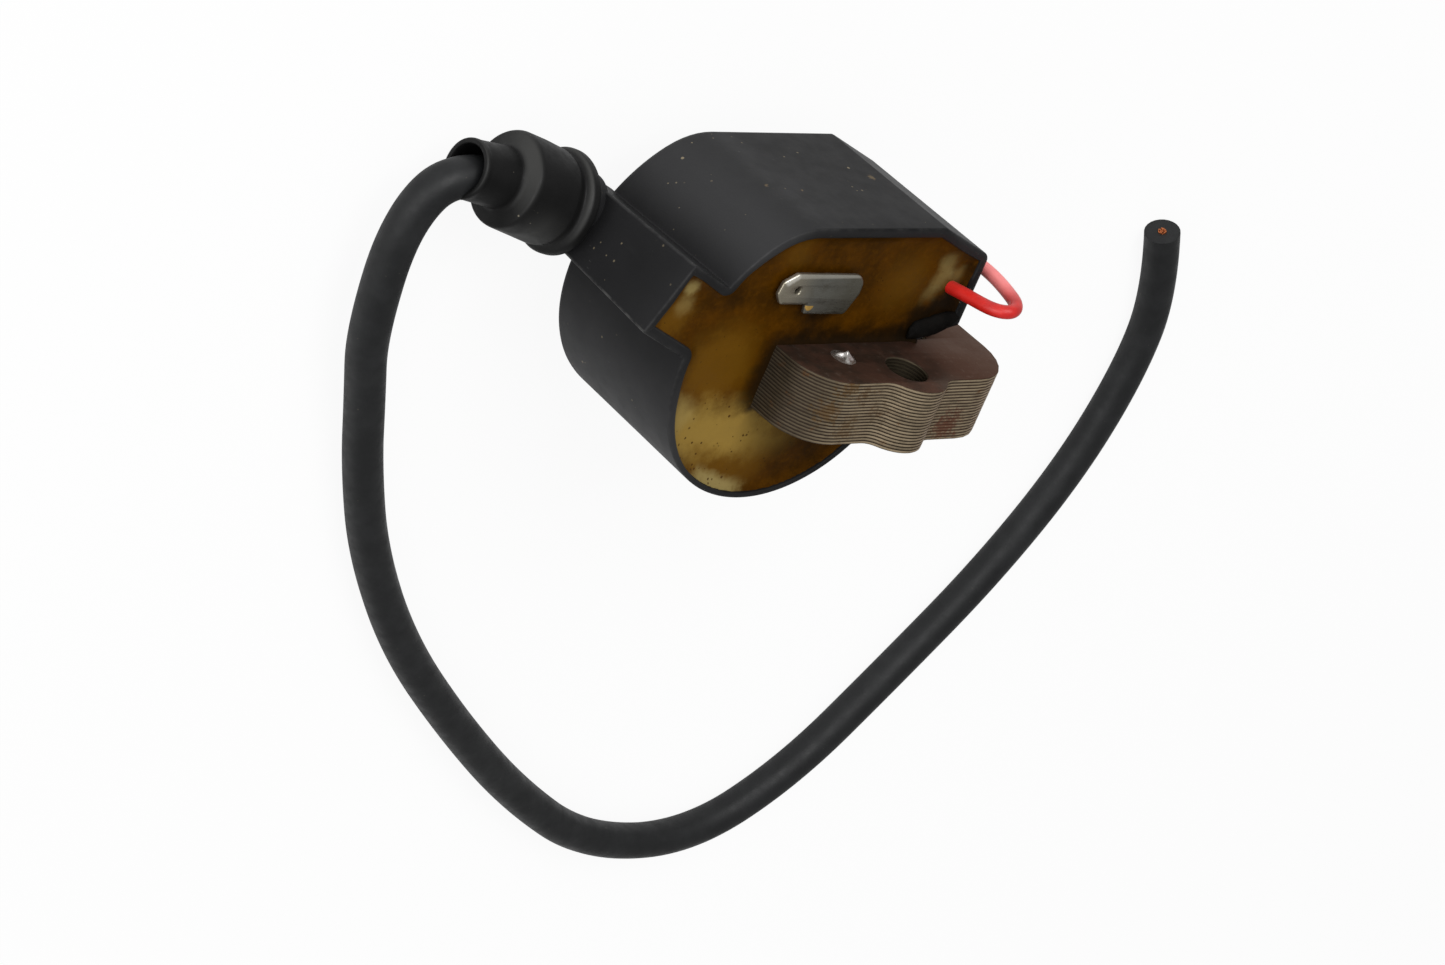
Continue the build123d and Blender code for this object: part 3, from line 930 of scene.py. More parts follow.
@dataclass(frozen=True)
class CasePlastic:
    """Black moulded case: satin, with fine texture, dust, scratches, pale worn edges, painted sheen on the
    round and painted shade on the flat top.

    A painted sheen is its X and Y, its reach and its share. A mark is its X, Y and Z and its radius.
    """

    dark: Triple = linear(24, 24, 25)
    light: Triple = linear(31, 31, 32)
    streak: Triple = linear(50, 50, 50)
    shaded_top: Triple = linear(11, 11, 12)
    # Colour of the painted sheen.
    bloom_and_sheen: Triple = linear(48, 48, 49)
    mark: Triple = linear(112, 94, 66)
    soot_and_shade: Triple = linear(7, 7, 8)
    worn: Triple = linear(92, 92, 90)
    dust: Triple = linear(140, 128, 104)
    roughness: float = 0.5
    shaded_top_x: Pair = (-1.0, 9.0)
    shaded_top_y: Pair = (18.2, 18.75)
    painted_sheens: tuple[Four, ...] = ((-8.5, 15.5, 9.0, 0.85), (-13.0, -15.0, 14.0, 0.8))
    marks: tuple[Four, ...] = ((20.7, 18.8, -14.0, 0.8), (-1.9, 18.9, -11.8, 0.4), (3.7, 18.9, -10.4, 0.3))
    sooty_corner: Triple = (34.0, 6.0, 0.0)

    def material(self, frame: CoilFrame) -> Material:
        """Build the material, with its marks placed on the coil.

        Args:
            frame: the coil's frame.

        Returns:
            The material.
        """
        g = NodeGraph("case_plastic")
        colour = g.mix(g.step(g.noise(14.0, 3.0, 0.5), 0.3, 0.75), self.dark, self.light)
        streaks = g.noise(1.2, 4.0, 0.7, g.moved(stretch=(1.0, 1.0, 0.25)))
        colour = g.mix(g.times(g.step(streaks, 0.55, 0.8), 0.12), colour, self.streak)
        x, y = g.coil_axes(frame)
        # Painted shade: the flat top darker than the rest of the case.
        shaded_top = g.times(g.step(y, *self.shaded_top_y), g.step(x, *self.shaded_top_x))
        colour = g.mix(g.times(shaded_top, 0.85), colour, self.shaded_top)
        # Painted sheen: lighter patches on the round's upper left shoulder and on its lower left, where light
        # falls.
        for sheen_x, sheen_y, reach, share in self.painted_sheens:
            away = g.length(g.minus(x, sheen_x), g.minus(y, sheen_y))
            colour = g.mix(g.step(away, 1.0, reach, share, 0.0), colour, self.bloom_and_sheen)
        for *place, radius in self.marks:
            ragged = g.step(g.noise(0.4), 0.3, 0.7, -0.2, 0.2)
            spot = g.near(frame.spot(*place), 0.2 * radius, radius, ragged)
            colour = g.mix(g.times(spot, 0.6), colour, self.mark)
        sooty = g.near(frame.spot(*self.sooty_corner), 2.0, 8.0)
        colour = g.mix(g.times(sooty, 0.8), colour, self.soot_and_shade)
        wear = g.times(g.attribute("wear"), g.step(g.noise(2.2, 5.0, 0.7), 0.36, 0.62))
        colour = g.mix(wear, colour, self.worn)
        dust = g.times(g.specks(0.55, 0.06, 0.34), g.step(g.noise(7.0, 2.0), 0.5, 0.62))
        colour = g.mix(g.times(dust, 0.45), colour, self.dust)
        dots = g.specks(2.6, 0.1, 0.11, g.moved((3.1, 1.7, 0.4)))
        colour = g.mix(g.times(dots, 0.7), colour, self.dust)
        scratch = g.step(g.noise(0.16, 1.0, 0.3, g.moved(stretch=(0.10, 1.0, 0.16))), 0.76, 0.8)
        scratch = g.times(scratch, g.step(g.noise(5.0, 2.0), 0.55, 0.68))
        colour = g.mix(g.times(scratch, 0.35), colour, self.worn)
        grain = g.noise(3.0, 3.0, 0.6)
        rough = g.step(grain, 0.25, 0.8, self.roughness - 0.03, self.roughness + 0.04)
        normal = g.bump(g.noise(0.22, 2.0, 0.5), 0.02, 0.5)
        return g.surface(colour, rough, 0.0, normal, Specular_IOR_Level=0.14)


@dataclass(frozen=True)
class AmberResin:
    """Aged potting resin: brown amber, pale where it is thin, cloudy and speckled in places.

    A patch is its X and Y, the radii where it is whole and gone, and its share of the colour.
    """

    deep: Triple = linear(50, 28, 0)
    middle: Triple = linear(74, 43, 1)
    amber: Triple = linear(98, 66, 12)
    pale: Triple = linear(146, 119, 56)
    cloud: Triple = linear(150, 134, 84)
    # Colour of soot and of painted shade.
    soot_and_shade: Triple = linear(20, 13, 5)
    amber_patches: tuple[Patch, ...] = (
        (-9.0, -3.5, 3.0, 9.5, 0.85), (-21.5, 5.0, 0.8, 5.0, 0.8), (-3.0, -18.5, 2.0, 9.0, 0.8),
        (21.0, 9.5, 1.0, 7.0, 0.45), (-3.0, 15.0, 0.5, 4.0, 0.4), (4.0, -20.0, 1.0, 6.0, 0.7),
    )
    cloud_patches: tuple[Patch, ...] = (
        (-20.4, 9.3, 0.2, 1.9, 0.6), (-20.4, 6.6, 0.2, 2.6, 0.3), (28.3, 12.4, 0.2, 2.6, 0.3),
        (27.8, 10.0, 0.2, 2.8, 0.35), (31.0, 10.8, 0.2, 2.0, 0.25), (26.8, 7.8, 0.2, 2.4, 0.2),
        (-12.8, -11.0, 1.0, 4.5, 0.35),
    )
    soot_and_shade_patches: tuple[Patch, ...] = (
        (5.5, 4.6, 0.4, 4.2, 0.75), (-12.0, 7.0, 0.3, 3.2, 0.4), (31.0, 4.6, 2.0, 4.8, 0.9),
        (26.6, 2.6, 1.4, 4.2, 0.9), (33.4, 11.0, 0.3, 2.6, 0.7), (32.8, 14.6, 0.3, 2.6, 0.5),
        (25.5, 1.0, 0.5, 2.6, 0.9), (17.0, -18.0, 1.0, 5.5, 0.2),
    )
    small_cloud: Triple = linear(98, 62, 8)
    speckle: Triple = linear(60, 35, 9)
    round_centre: Pair = (5.7, -2.0)
    wall_band: Pair = (19.6, 21.4)
    crescent_middle: Pair = (-1.0, -23.2)
    speckled_middle: Pair = (-4.0, -16.5)
    band_top: Pair = (-13.0, -7.0)
    band_bottom: Pair = (-20.4, -15.4)
    band_right: Pair = (1.0, 14.0)
    core_shadow_reach: float = 3.4
    core_bottom: Pair = (-12.0, -9.0)

    def material(self, frame: CoilFrame) -> Material:
        """Build the material, with its patches and bands placed on the coil.

        Args:
            frame: the coil's frame.

        Returns:
            The material.
        """
        g = NodeGraph("potting_amber")
        ripple = g.step(g.noise(3.0, 4.0, 0.6), 0.2, 0.8, -2.0, 2.0)
        small = g.noise(0.9, 4.0, 0.7)
        colour = g.mix(g.step(g.noise(6.0, 5.0, 0.65), 0.32, 0.7), self.deep, self.middle)
        colour = g.mix(g.times(g.step(small, 0.45, 0.75), 0.25), colour, self.small_cloud)
        x, y = g.coil_axes(frame)

        def near(centre: Pair, inner: float, outer: float, sway: Socket = ripple) -> Socket:
            """1 near a point of the resin's surface, with a ragged border."""
            return g.near(frame.spot(*centre, -1.0), inner, outer, sway)

        def patched(colour: Socket, patches: Sequence[Patch], tint: Triple, sway: float) -> Socket:
            """The colour with a tint in ragged patches.

            Args:
                colour: the colour so far.
                patches: the patches.
                tint: their colour.
                sway: how ragged they are.

            Returns:
                The new colour.
            """
            ragged = g.times(ripple, sway)
            for patch_x, patch_y, inner, outer, share in patches:
                patch = near((patch_x, patch_y), inner, outer, ragged)
                colour = g.mix(g.times(patch, share), colour, tint)
            return colour

        colour = patched(colour, self.amber_patches, self.amber, 0.7)
        across, up = g.math(Op.ADD, x, ripple), g.math(Op.ADD, y, g.times(ripple, 0.6))
        band = g.times(g.step(up, *self.band_top, 1.0, 0.0), g.step(up, *self.band_bottom))
        band = g.times(band, g.step(across, *self.band_right, 0.85, 0.0))
        colour = g.mix(band, colour, self.pale)
        by_wall = g.minus(1.0, near(self.round_centre, *self.wall_band, g.times(ripple, 0.3)))
        crescent = g.times(by_wall, near(self.crescent_middle, 2.5, 7.5))
        colour = g.mix(g.times(crescent, 0.75), colour, self.cloud)
        # Painted shadow of the core: the resin darker along the core's left side and above its top edge.
        beside = g.math(Op.MAXIMUM, g.times(x, -1.0), 0.0)
        above = g.math(Op.MAXIMUM, y, 0.0)
        reach = g.math(Op.ADD, g.length(beside, above), g.times(ripple, 0.35))
        core_shadow = g.times(g.step(reach, 0.2, self.core_shadow_reach, 0.88, 0.0), g.step(up, *self.core_bottom))
        colour = g.mix(core_shadow, colour, self.soot_and_shade)
        # Dark patches: soot round the sealant, and painted shade in the right inner corner and just below the
        # blade's lower edge.
        colour = patched(colour, self.soot_and_shade_patches, self.soot_and_shade, 0.35)
        colour = patched(colour, self.cloud_patches, self.cloud, 0.3)
        low = near(self.speckled_middle, 6.0, 11.0)
        speckle = g.times(g.specks(0.85, 0.4, 0.3), low)
        colour = g.mix(g.times(speckle, 0.85), colour, self.speckle)
        grit = g.times(g.specks(0.5, 0.2, 0.26), g.step(g.noise(4.0), 0.42, 0.58))
        colour = g.mix(g.times(grit, 0.6), colour, self.soot_and_shade)
        rough = g.step(small, 0.2, 0.8, 0.34, 0.5)
        normal = g.bump(g.noise(1.6, 4.0, 0.55), 0.08, 0.4)
        return g.surface(colour, rough, 0.0, normal, Specular_IOR_Level=0.03)


@dataclass(frozen=True)
class CoreSteel:
    """Varnished and rusted steel of the laminations, with bright burrs along the cut edges.

    A stain is its X and Y, its reach, its share and its colour. The hole is the front screw hole,
    whose bore is dark, and the yoke turns redder and darker to the right, over the reddening's X.
    """

    face: Triple = linear(50, 40, 33)
    reddish: Triple = linear(74, 52, 42)
    edge_light: Triple = linear(158, 142, 117)
    edge_dark: Triple = linear(36, 31, 25)
    rust: Triple = linear(92, 58, 26)
    bore: Triple = linear(28, 27, 18)
    far: Triple = linear(62, 35, 24)
    scuff: Triple = linear(122, 110, 100)
    speck: Triple = linear(36, 28, 24)
    shine: Four = (0.8, 0.58, 0.45, 1.0)
    pitch: float = 0.5
    shaded_left_end: Pair = (-0.5, 9.0)
    reddening: Pair = (22.0, 32.0)
    hole: Triple = (19.6, -2.6, 6.5)
    stains: tuple[Stain, ...] = (
        (6.0, -1.0, 2.0, 0.6, linear(90, 62, 20)),
        (9.5, -1.6, 1.6, 0.5, linear(78, 54, 24)),
        (4.2, -5.0, 2.2, 0.5, linear(90, 62, 20)),
        (8.6, -7.4, 2.4, 0.5, linear(84, 58, 22)),
        (29.0, -7.6, 3.4, 0.8, linear(92, 52, 38)),
        (14.0, -5.0, 2.0, 0.4, linear(66, 48, 30)),
    )

    def material(self, frame: CoilFrame) -> Material:
        """Build the material, with its lines set to the plates.

        Args:
            frame: the coil's frame.

        Returns:
            The material.
        """
        g = NodeGraph("core_steel")
        x, y, z = g.axes()
        top = frame.datum[1] / MM
        layer = g.math(Op.DIVIDE, g.minus(top, y), self.pitch)
        number = g.math(Op.FLOOR, layer)
        within = g.math(Op.FRACT, layer)
        line = g.times(g.step(within, 0.08, 0.35), g.step(within, 0.62, 0.95, 1.0, 0.0))
        white = g.add("TexWhiteNoise", noise_dimensions="1D")
        g.feed(white.inputs["W"], number)
        along = g.add("CombineXYZ")
        for socket, value in zip(along.inputs, (x, g.times(number, 7.3), z)):
            g.feed(socket, value)
        broken = g.noise(2.4, 3.0, 0.6, along.outputs[0])
        bright = g.times(line, g.step(broken, 0.15, 0.6, 0.45, 1.0))
        bright = g.times(bright, g.step(white.outputs["Value"], 0.0, 1.0, 0.8, 1.0))
        left = frame.datum[0] / MM
        # Painted shade: the lines dimmer towards the core's left end.
        shade_start, shade_stop = self.shaded_left_end
        bright = g.times(bright, g.step(x, left + shade_start, left + shade_stop, 0.18, 1.0))
        edge = g.mix(bright, self.edge_dark, self.edge_light)
        rust = g.step(g.noise(2.6, 5.0, 0.7), 0.58, 0.7)
        edge = g.mix(g.times(rust, 0.7), edge, self.rust)
        grain = g.step(g.noise(0.8, 5.0, 0.75), 0.3, 0.7, -1.6, 1.6)
        for spot_x, spot_y, reach, share, tint in self.stains:
            stain = g.near(frame.spot(spot_x, spot_y, 9.0), 0.3 * reach, reach, grain)
            edge = g.mix(g.times(stain, share), edge, tint)
        # Painted shade: the front screw hole's bore darker.
        edge = g.mix(g.times(g.near(frame.spot(*self.hole), 3.9, 4.3), 0.85), edge, self.bore)
        cloud = g.noise(5.0, 5.0, 0.65)
        face = g.mix(g.step(cloud, 0.35, 0.7), self.face, self.reddish)
        red_start, red_stop = self.reddening
        face = g.mix(g.step(x, left + red_start, left + red_stop, 0.0, 0.9), face, self.far)
        face = g.mix(g.times(g.step(g.noise(1.0, 5.0, 0.75), 0.55, 0.75), 0.3), face, self.scuff)
        face = g.mix(g.times(g.specks(0.8, 0.12, 0.25), 0.5), face, self.speck)
        normals = g.add("SeparateXYZ")
        g.feed(normals.inputs[0], g.add("NewGeometry").outputs["True Normal"])
        flat = g.step(g.math(Op.ABSOLUTE, normals.outputs[1]), 0.6, 0.9)
        colour = g.mix(flat, edge, face)
        rough = g.blend_number(flat, g.step(rust, 0.0, 1.0, 0.42, 0.7), g.step(cloud, 0.2, 0.8, 0.38, 0.52))
        normal = g.bump(g.noise(0.5, 4.0, 0.6), 0.03, 0.5)
        return g.surface(colour, rough, 0.45, normal, Specular_IOR_Level=0.2, Specular_Tint=self.shine)


@dataclass(frozen=True)
class Metal:
    """Bare or plated metal with fine scratches and a few stains."""

    name: str
    colour: Triple
    stain: Triple
    roughness: float
    stained: float = 0.3
    metallic: float = 0.9

    def material(self) -> Material:
        """Build the material.

        Returns:
            The material.
        """
        g = NodeGraph(self.name)
        cloud = g.step(g.noise(1.6, 4.0, 0.65), 0.45, 0.75)
        colour = g.mix(g.times(cloud, self.stained), self.colour, self.stain)
        lines = g.noise(0.12, 2.0, 0.5, g.moved(stretch=(0.12, 1.0, 1.0)))
        rough = g.step(lines, 0.3, 0.7, self.roughness - 0.06, self.roughness + 0.1)
        normal = g.bump(lines, 0.006, 0.5)
        return g.surface(colour, rough, self.metallic, normal)


@dataclass(frozen=True)
class BladeTin:
    """Dull tin plate, with a painted highlight along the far bevel and a painted pale glint at the tip's
    step.

    The bevel glints are painted highlights on the tip's bevel, each its X and Y.
    """

    dull: Triple = linear(112, 111, 104)
    stain: Triple = linear(84, 78, 66)
    bright: Triple = linear(222, 218, 206)
    pale_glint: Triple = linear(216, 174, 92)
    tip: Triple = linear(158, 150, 132)
    base: Triple = linear(92, 88, 74)
    bevel_glints: tuple[Pair, ...] = ((-3.9, 10.7), (-3.3, 11.1), (-2.7, 11.5))
    pale_glint_spot: Triple = (1.95, 6.85, 0.5)

    def material(self, frame: CoilFrame) -> Material:
        """Build the material, with its bright places set on the coil.

        Args:
            frame: the coil's frame.

        Returns:
            The material.
        """
        g = NodeGraph("blade_tin")
        cloud = g.step(g.noise(1.6, 4.0, 0.65), 0.45, 0.75)
        colour = g.mix(g.times(cloud, 0.5), self.dull, self.stain)
        x, y = g.coil_axes(frame)
        colour = g.mix(g.step(x, -3.5, 2.5, 0.8, 0.0), colour, self.tip)
        colour = g.mix(g.step(x, 3.0, 10.0, 0.0, 0.6), colour, self.base)
        # Painted highlight along the far bevel.
        colour = g.mix(g.step(y, 11.1, 11.4, 0.0, 0.4), colour, self.bright)
        # Painted glints on the tip's bevel.
        for glint_point in self.bevel_glints:
            colour = g.mix(g.near(frame.spot(*glint_point, 0.3), 0.3, 0.8), colour, self.bright)
        # Painted pale glint: a lower half-disc at the tip's step.
        glint_disc = g.near(frame.spot(*self.pale_glint_spot), 0.6, 0.8)
        colour = g.mix(g.times(glint_disc, g.step(y, 6.85, 6.95, 1.0, 0.0)), colour, self.pale_glint)
        lines = g.noise(0.12, 2.0, 0.5, g.moved(stretch=(0.12, 1.0, 1.0)))
        rough = g.step(lines, 0.3, 0.7, 0.26, 0.42)
        return g.surface(colour, rough, 0.85, g.bump(lines, 0.006, 0.5))


@dataclass(frozen=True)
class Rubber:
    """Black rubber or soft plastic, mottled lighter in places, with scuffs and dust."""

    name: str
    dark: Triple
    bloom_and_sheen: Triple
    roughness: float
    dusty: float = 0.3
    grain: float = 0.02
    specular: float = 0.5
    scuff: Triple = linear(96, 96, 94)
    dust: Triple = linear(150, 142, 124)

    def material(self) -> Material:
        """Build the material.

        Returns:
            The material.
        """
        g = NodeGraph(self.name)
        cloud = g.step(g.noise(5.0, 4.0, 0.6), 0.35, 0.75)
        colour = g.mix(cloud, self.dark, self.bloom_and_sheen)
        # On the boot, the wear also holds a painted reflection, a soft lighter band along one side.
        colour = g.mix(g.times(g.attribute("wear"), 0.5), colour, self.scuff)
        dust = g.times(g.specks(0.7, 0.12, 0.2), g.step(g.noise(6.0, 2.0), 0.45, 0.62))
        colour = g.mix(g.times(dust, self.dusty), colour, self.dust)
        grain = g.noise(2.0, 4.0, 0.6)
        rough = g.step(grain, 0.25, 0.75, self.roughness - 0.06, self.roughness + 0.1)
        normal = g.bump(g.noise(0.3, 2.0, 0.5), self.grain, 0.5)
        return g.surface(colour, rough, 0.0, normal, Specular_IOR_Level=self.specular)


@dataclass(frozen=True)
class PaintedHighlight:
    """A painted highlight: its centre in the coil's axes, its two radii and its tint."""

    centre: Triple
    inner: float
    outer: float
    tint: Triple


@dataclass(frozen=True)
class Moulding:
    """Plain coloured plastic, resin board or lacquer, softly mottled."""

    name: str
    colour: Triple
    shade: Triple
    roughness: float
    size: float = 2.0

    def material(self, frame: CoilFrame | None = None, painted_highlight: PaintedHighlight | None = None) -> Material:
        """Build the material.

        Args:
            frame: the coil's frame, needed for a painted highlight only.
            painted_highlight: a painted highlight, a lighter tint round one place, if there is one.

        Returns:
            The material.
        """
        g = NodeGraph(self.name)
        colour = g.mix(g.step(g.noise(self.size, 4.0, 0.6), 0.35, 0.7), self.colour, self.shade)
        # Painted highlight: a lighter tint round one place.
        if frame and painted_highlight:
            place = g.near(frame.spot(*painted_highlight.centre), painted_highlight.inner, painted_highlight.outer)
            colour = g.mix(g.times(place, 0.8), colour, painted_highlight.tint)
        grain = g.noise(self.size * 0.6, 3.0)
        rough = g.step(grain, 0.25, 0.75, self.roughness - 0.05, self.roughness + 0.08)
        return g.surface(colour, rough, 0.0, g.bump(g.noise(0.3, 2.0), 0.01, 0.5))


@dataclass(frozen=True)
class WoundWire:
    """Enamelled wire, wound close: fine ridges round the leg."""

    name: str
    wire: float
    colour: Triple = linear(150, 78, 38)
    gap: Triple = linear(64, 28, 12)

    def material(self) -> Material:
        """Build the material.

        Returns:
            The material.
        """
        g = NodeGraph(self.name)
        height = g.axes()[2]
        turn = g.math(Op.FRACT, g.math(Op.DIVIDE, height, self.wire))
        ridge = g.math(Op.SINE, g.times(turn, math.pi))
        colour = g.mix(g.step(ridge, 0.1, 0.7), self.gap, self.colour)
        return g.surface(colour, 0.32, 0.6, g.bump(ridge, self.wire / 2, 0.8))


# --- Case, potting and core ---


@dataclass(frozen=True)
class Spout:
    """Axis of the case's spout, which the boot and the lead follow."""

    seat: Triple = (-25.3, 8.9, -24.0)
    direction: Triple = (-0.967, 0.218, -0.076)

    def axis(self) -> tuple[Array, Array]:
        """Where the boot sits on the case, and the unit direction."""
        direction = np.array(self.direction)
        return np.array(self.seat), direction / np.linalg.norm(direction)


@dataclass
class CaseShell:
    """Moulded case: a round body with a box on its right and a tower for the lead's spout.

    Rows of the wall are an inset into it and a height, or a rise above its rear edge. The rim share
    is how much of an inset counts at a place's Y. Wear is one amount for each row or each corner.
    """

    wall: float = 1.6
    depth: float = 26.8
    round_centre: Pair = (5.7, -2.0)
    round_radius: float = 23.1
    draft: float = 0.018
    top: float = 18.8
    right: float = 34.8
    right_bottom: float = 2.75
    bottom_slope: Pair = (0.968, 0.25)
    chamfer_run: float = 11.1
    chamfer_drop: float = 4.5
    tower_angle: float = 24.1
    tower_reach: float = 30.7
    tower_shift: float = 3.3
    tower_width: float = 11.1
    tower_offsets: Pair = (0.2, 0.12)
    tower_flanks: Pair = (8.0, 9.6)
    tower_root: float = 12.0
    tower_depth: float = 30.4
    tower_face_wall: float = 1.3
    tower_lean: float = 1.1
    tower_upper_taper: float = 0.022
    tower_lower_taper: float = 0.04
    tower_lean_height: float = 20.0
    tower_rear: tuple[Pair, ...] = ((0.0, 0.5), (0.1, 0.15), (0.5, 0.0))
    window: Four = (-0.2, 10.2, -10.2, 0.2)
    notch_depth: float = 1.0
    notch_left: float = 20.0
    notch_y: Pair = (-10.3, 0.3)
    spout: Spout = Spout()
    spout_profile: tuple[Pair, ...] = ((-3.6, 5.0), (-0.1, 4.8), (9.5, 4.7), (9.5, 3.1), (-4.0, 3.1))
    shoulder_radius: float = 13.0
    box_round: float = 1.4
    chamfer_round: float = 1.0
    bottom_round: float = 0.5
    edge_radius: float = 0.4
    hollow_radius: float = 0.35
    rear_edge: tuple[Pair, ...] = ((0.8, 0.0), (0.45, 0.08), (0.2, 0.25), (0.06, 0.5))
    straight: Pair = (0.9, -0.4)
    straight_rows: int = 9
    rim: tuple[Pair, ...] = (
        (0.03, -0.22), (0.12, -0.09), (0.3, -0.01), (0.8, 0.0), (1.25, -0.02), (1.45, -0.1), (1.55, -0.26),
        (1.6, -0.5), (1.6, -1.1), (1.6, -1.9),
    )
    rear_wear: Four = (0.2, 0.3, 0.3, 0.1)
    rim_wear: tuple[float, ...] = (0.05, 0.12, 0.06, 0.0, 0.0, 0.08, 0.0, 0.0, 0.0, 0.0)
    corner_wears: tuple[float, ...] = (0.1, 0.05, 0.0, 0.0, 0.12, 0.4, 0.0, 0.0, 0.1)
    rim_share_y: tuple[float, ...] = (-20.0, -8.0, 8.0, 12.0, 16.0)
    rim_share: tuple[float, ...] = (0.55, 1.0, 1.0, 0.75, 1.0)
    rim_bottom: float = -3.0

    def tower_axes(self) -> tuple[Array, Array, Array]:
        """The tower's outward and downward directions and its face's middle.

        Returns:
            Two unit vectors and a point, arrays (2,).
        """
        angle = math.radians(self.tower_angle)
        outward = np.array([-math.cos(angle), math.sin(angle)])
        down = np.array([-math.sin(angle), -math.cos(angle)])
        face = np.array(self.round_centre) + outward * self.tower_reach + down * self.tower_shift
        return outward, down, face

    def tower_sides(self, z: float) -> Pair:
        """Distances from the tower's middle to its upper and lower sides.

        Args:
            z: height.

        Returns:
            The two distances.
        """
        half, back = self.tower_width / 2, max(-z, 0.0)
        upper, lower = (half + offset for offset in self.tower_offsets)
        return upper - self.tower_upper_taper * back, lower - self.tower_lower_taper * back

    def outline(self, thinner_face: float = 0.0, z: float = 0.0) -> Outline:
        """The case's outline, turning left, from its right wall.

        Args:
            thinner_face: how far the tower's face is moved out, where its wall is thinner.
            z: height, because the tower's sides taper backwards.

        Returns:
            The outline.
        """
        outward, down, face = self.tower_axes()
        upper_half, lower_half = self.tower_sides(z)
        slope = np.array([-self.chamfer_run, self.chamfer_drop])
        slope = slope / np.linalg.norm(slope)
        cx, cy = self.round_centre
        radius = self.round_radius - self.draft * max(-z, 0.0)
        upper = face - down * upper_half
        lower = face + down * lower_half
        lean = self.tower_lean * max(1.0 + z / self.tower_lean_height, 0.0)
        front = face + outward * (thinner_face + lean)
        sides = (
            Side((self.right, 8.0), (0.0, 1.0)),
            Side((self.right, self.top - self.chamfer_drop), tuple(slope)),
            Side((0.0, self.top), (-1.0, 0.0)),
            Side(self.round_centre, radius=radius, samples=26),
            Side(tuple(upper), tuple(outward)),
            Side(tuple(front), tuple(down)),
            Side(tuple(lower), tuple(-outward)),
            Side(self.round_centre, radius=radius, samples=96),
            Side((self.right, self.right_bottom), self.bottom_slope),
        )
        flat_reach = math.sqrt(radius**2 - (self.top - cy) ** 2)
        box_reach = math.sqrt(radius**2 - (self.right_bottom - cy) ** 2)
        edge, hollow = self.edge_radius, -self.hollow_radius
        upper_flank, lower_flank = self.tower_flanks
        corners = (
            (self.box_round, self.right, self.top - self.chamfer_drop),
            (self.chamfer_round, self.right - self.chamfer_run, self.top),
            (self.shoulder_radius, cx - flat_reach, self.top),
            (hollow, *(upper - outward * upper_flank)),
            (edge, *upper),
            (edge, *lower),
            (hollow, *(lower - outward * lower_flank)),
            (hollow, cx + box_reach, self.right_bottom - 1.5),
            (self.bottom_round, self.right, self.right_bottom),
        )
        return Outline(sides, corners)

    def rows(self) -> tuple[Array, Array]:
        """Rows of the wall, from its rounded rear edge up the outside, over the rim and down inside.

        Returns:
            The points (rows, n, 3) and the wear of each.
        """
        rear = [(inset, -self.depth + rise) for inset, rise in self.rear_edge]
        low, high = self.straight
        outside = [(0.0, z) for z in np.linspace(-self.depth + low, high, self.straight_rows)]
        worn = [*self.rear_wear, *[0.0] * self.straight_rows, *self.rim_wear]
        points, wear = [], []
        for (inset, z), amount in zip([*rear, *outside, *self.rim], worn):
            line = self.drawn_in(inset, z)
            points.append(np.column_stack([line, np.full(len(line), z)]))
            wear.append(np.maximum(amount, self.corner_wear(self.outline(), inset)))
        return np.stack(points), np.stack(wear)

    def drawn_in(self, inset: float, z: float) -> Array:
        """The outline drawn into the wall, less so at the tower's face and round the bottom of the rim.

        Args:
            inset: distance into the wall.
            z: height.

        Returns:
            Array (n, 2).
        """
        outline = self.outline((self.wall - self.tower_face_wall) * min(inset / self.wall, 1.0), z)
        edge, line = outline.at(0.0), outline.at(inset)
        if z < self.rim_bottom:
            return line
        share = np.interp(edge[:, 1:], self.rim_share_y, self.rim_share)
        return edge + (line - edge) * share

    def corner_wear(self, outline: Outline, inset: float) -> Array:
        """Wear along the tower's two outer corners and, less, the other sharp ones.

        Args:
            outline: the case's outline.
            inset: distance into the wall.

        Returns:
            Array (n,) from 0 to 1.
        """
        parts = []
        for side, amount in zip(outline.sides, self.corner_wears):
            edge = np.zeros(outline.corner_samples)
            edge[1:] = amount if inset < 0.1 else amount * 0.5
            parts.extend([np.zeros(side.samples), edge])
        return np.concatenate(parts)

    def tower_block(self) -> Array:
        """The tower's part behind the case's floor: its own four walls and rounded rear edge.

        Returns:
            Array (4, n, 3).
        """
        outward, down, face = self.tower_axes()
        rows = []
        levels = [(0.0, -self.depth + self.straight[0])]
        levels += [(inset, -self.tower_depth + rise) for inset, rise in self.tower_rear]
        for inset, z in levels:
            upper_half, lower_half = self.tower_sides(z)
            upper, lower = face - down * upper_half, face + down * lower_half
            back = outward * self.tower_root
            sides = (
                Side(tuple(face), tuple(down)),
                Side(tuple(lower), tuple(-outward)),
                Side(tuple(face - back), tuple(-down)),
                Side(tuple(upper), tuple(outward)),
            )
            ends = (lower, lower - back, upper - back, upper)
            line = Outline(sides, tuple((self.edge_radius, *end) for end in ends)).at(inset)
            rows.append(np.column_stack([line, np.full(len(line), z)]))
        return np.stack(rows)

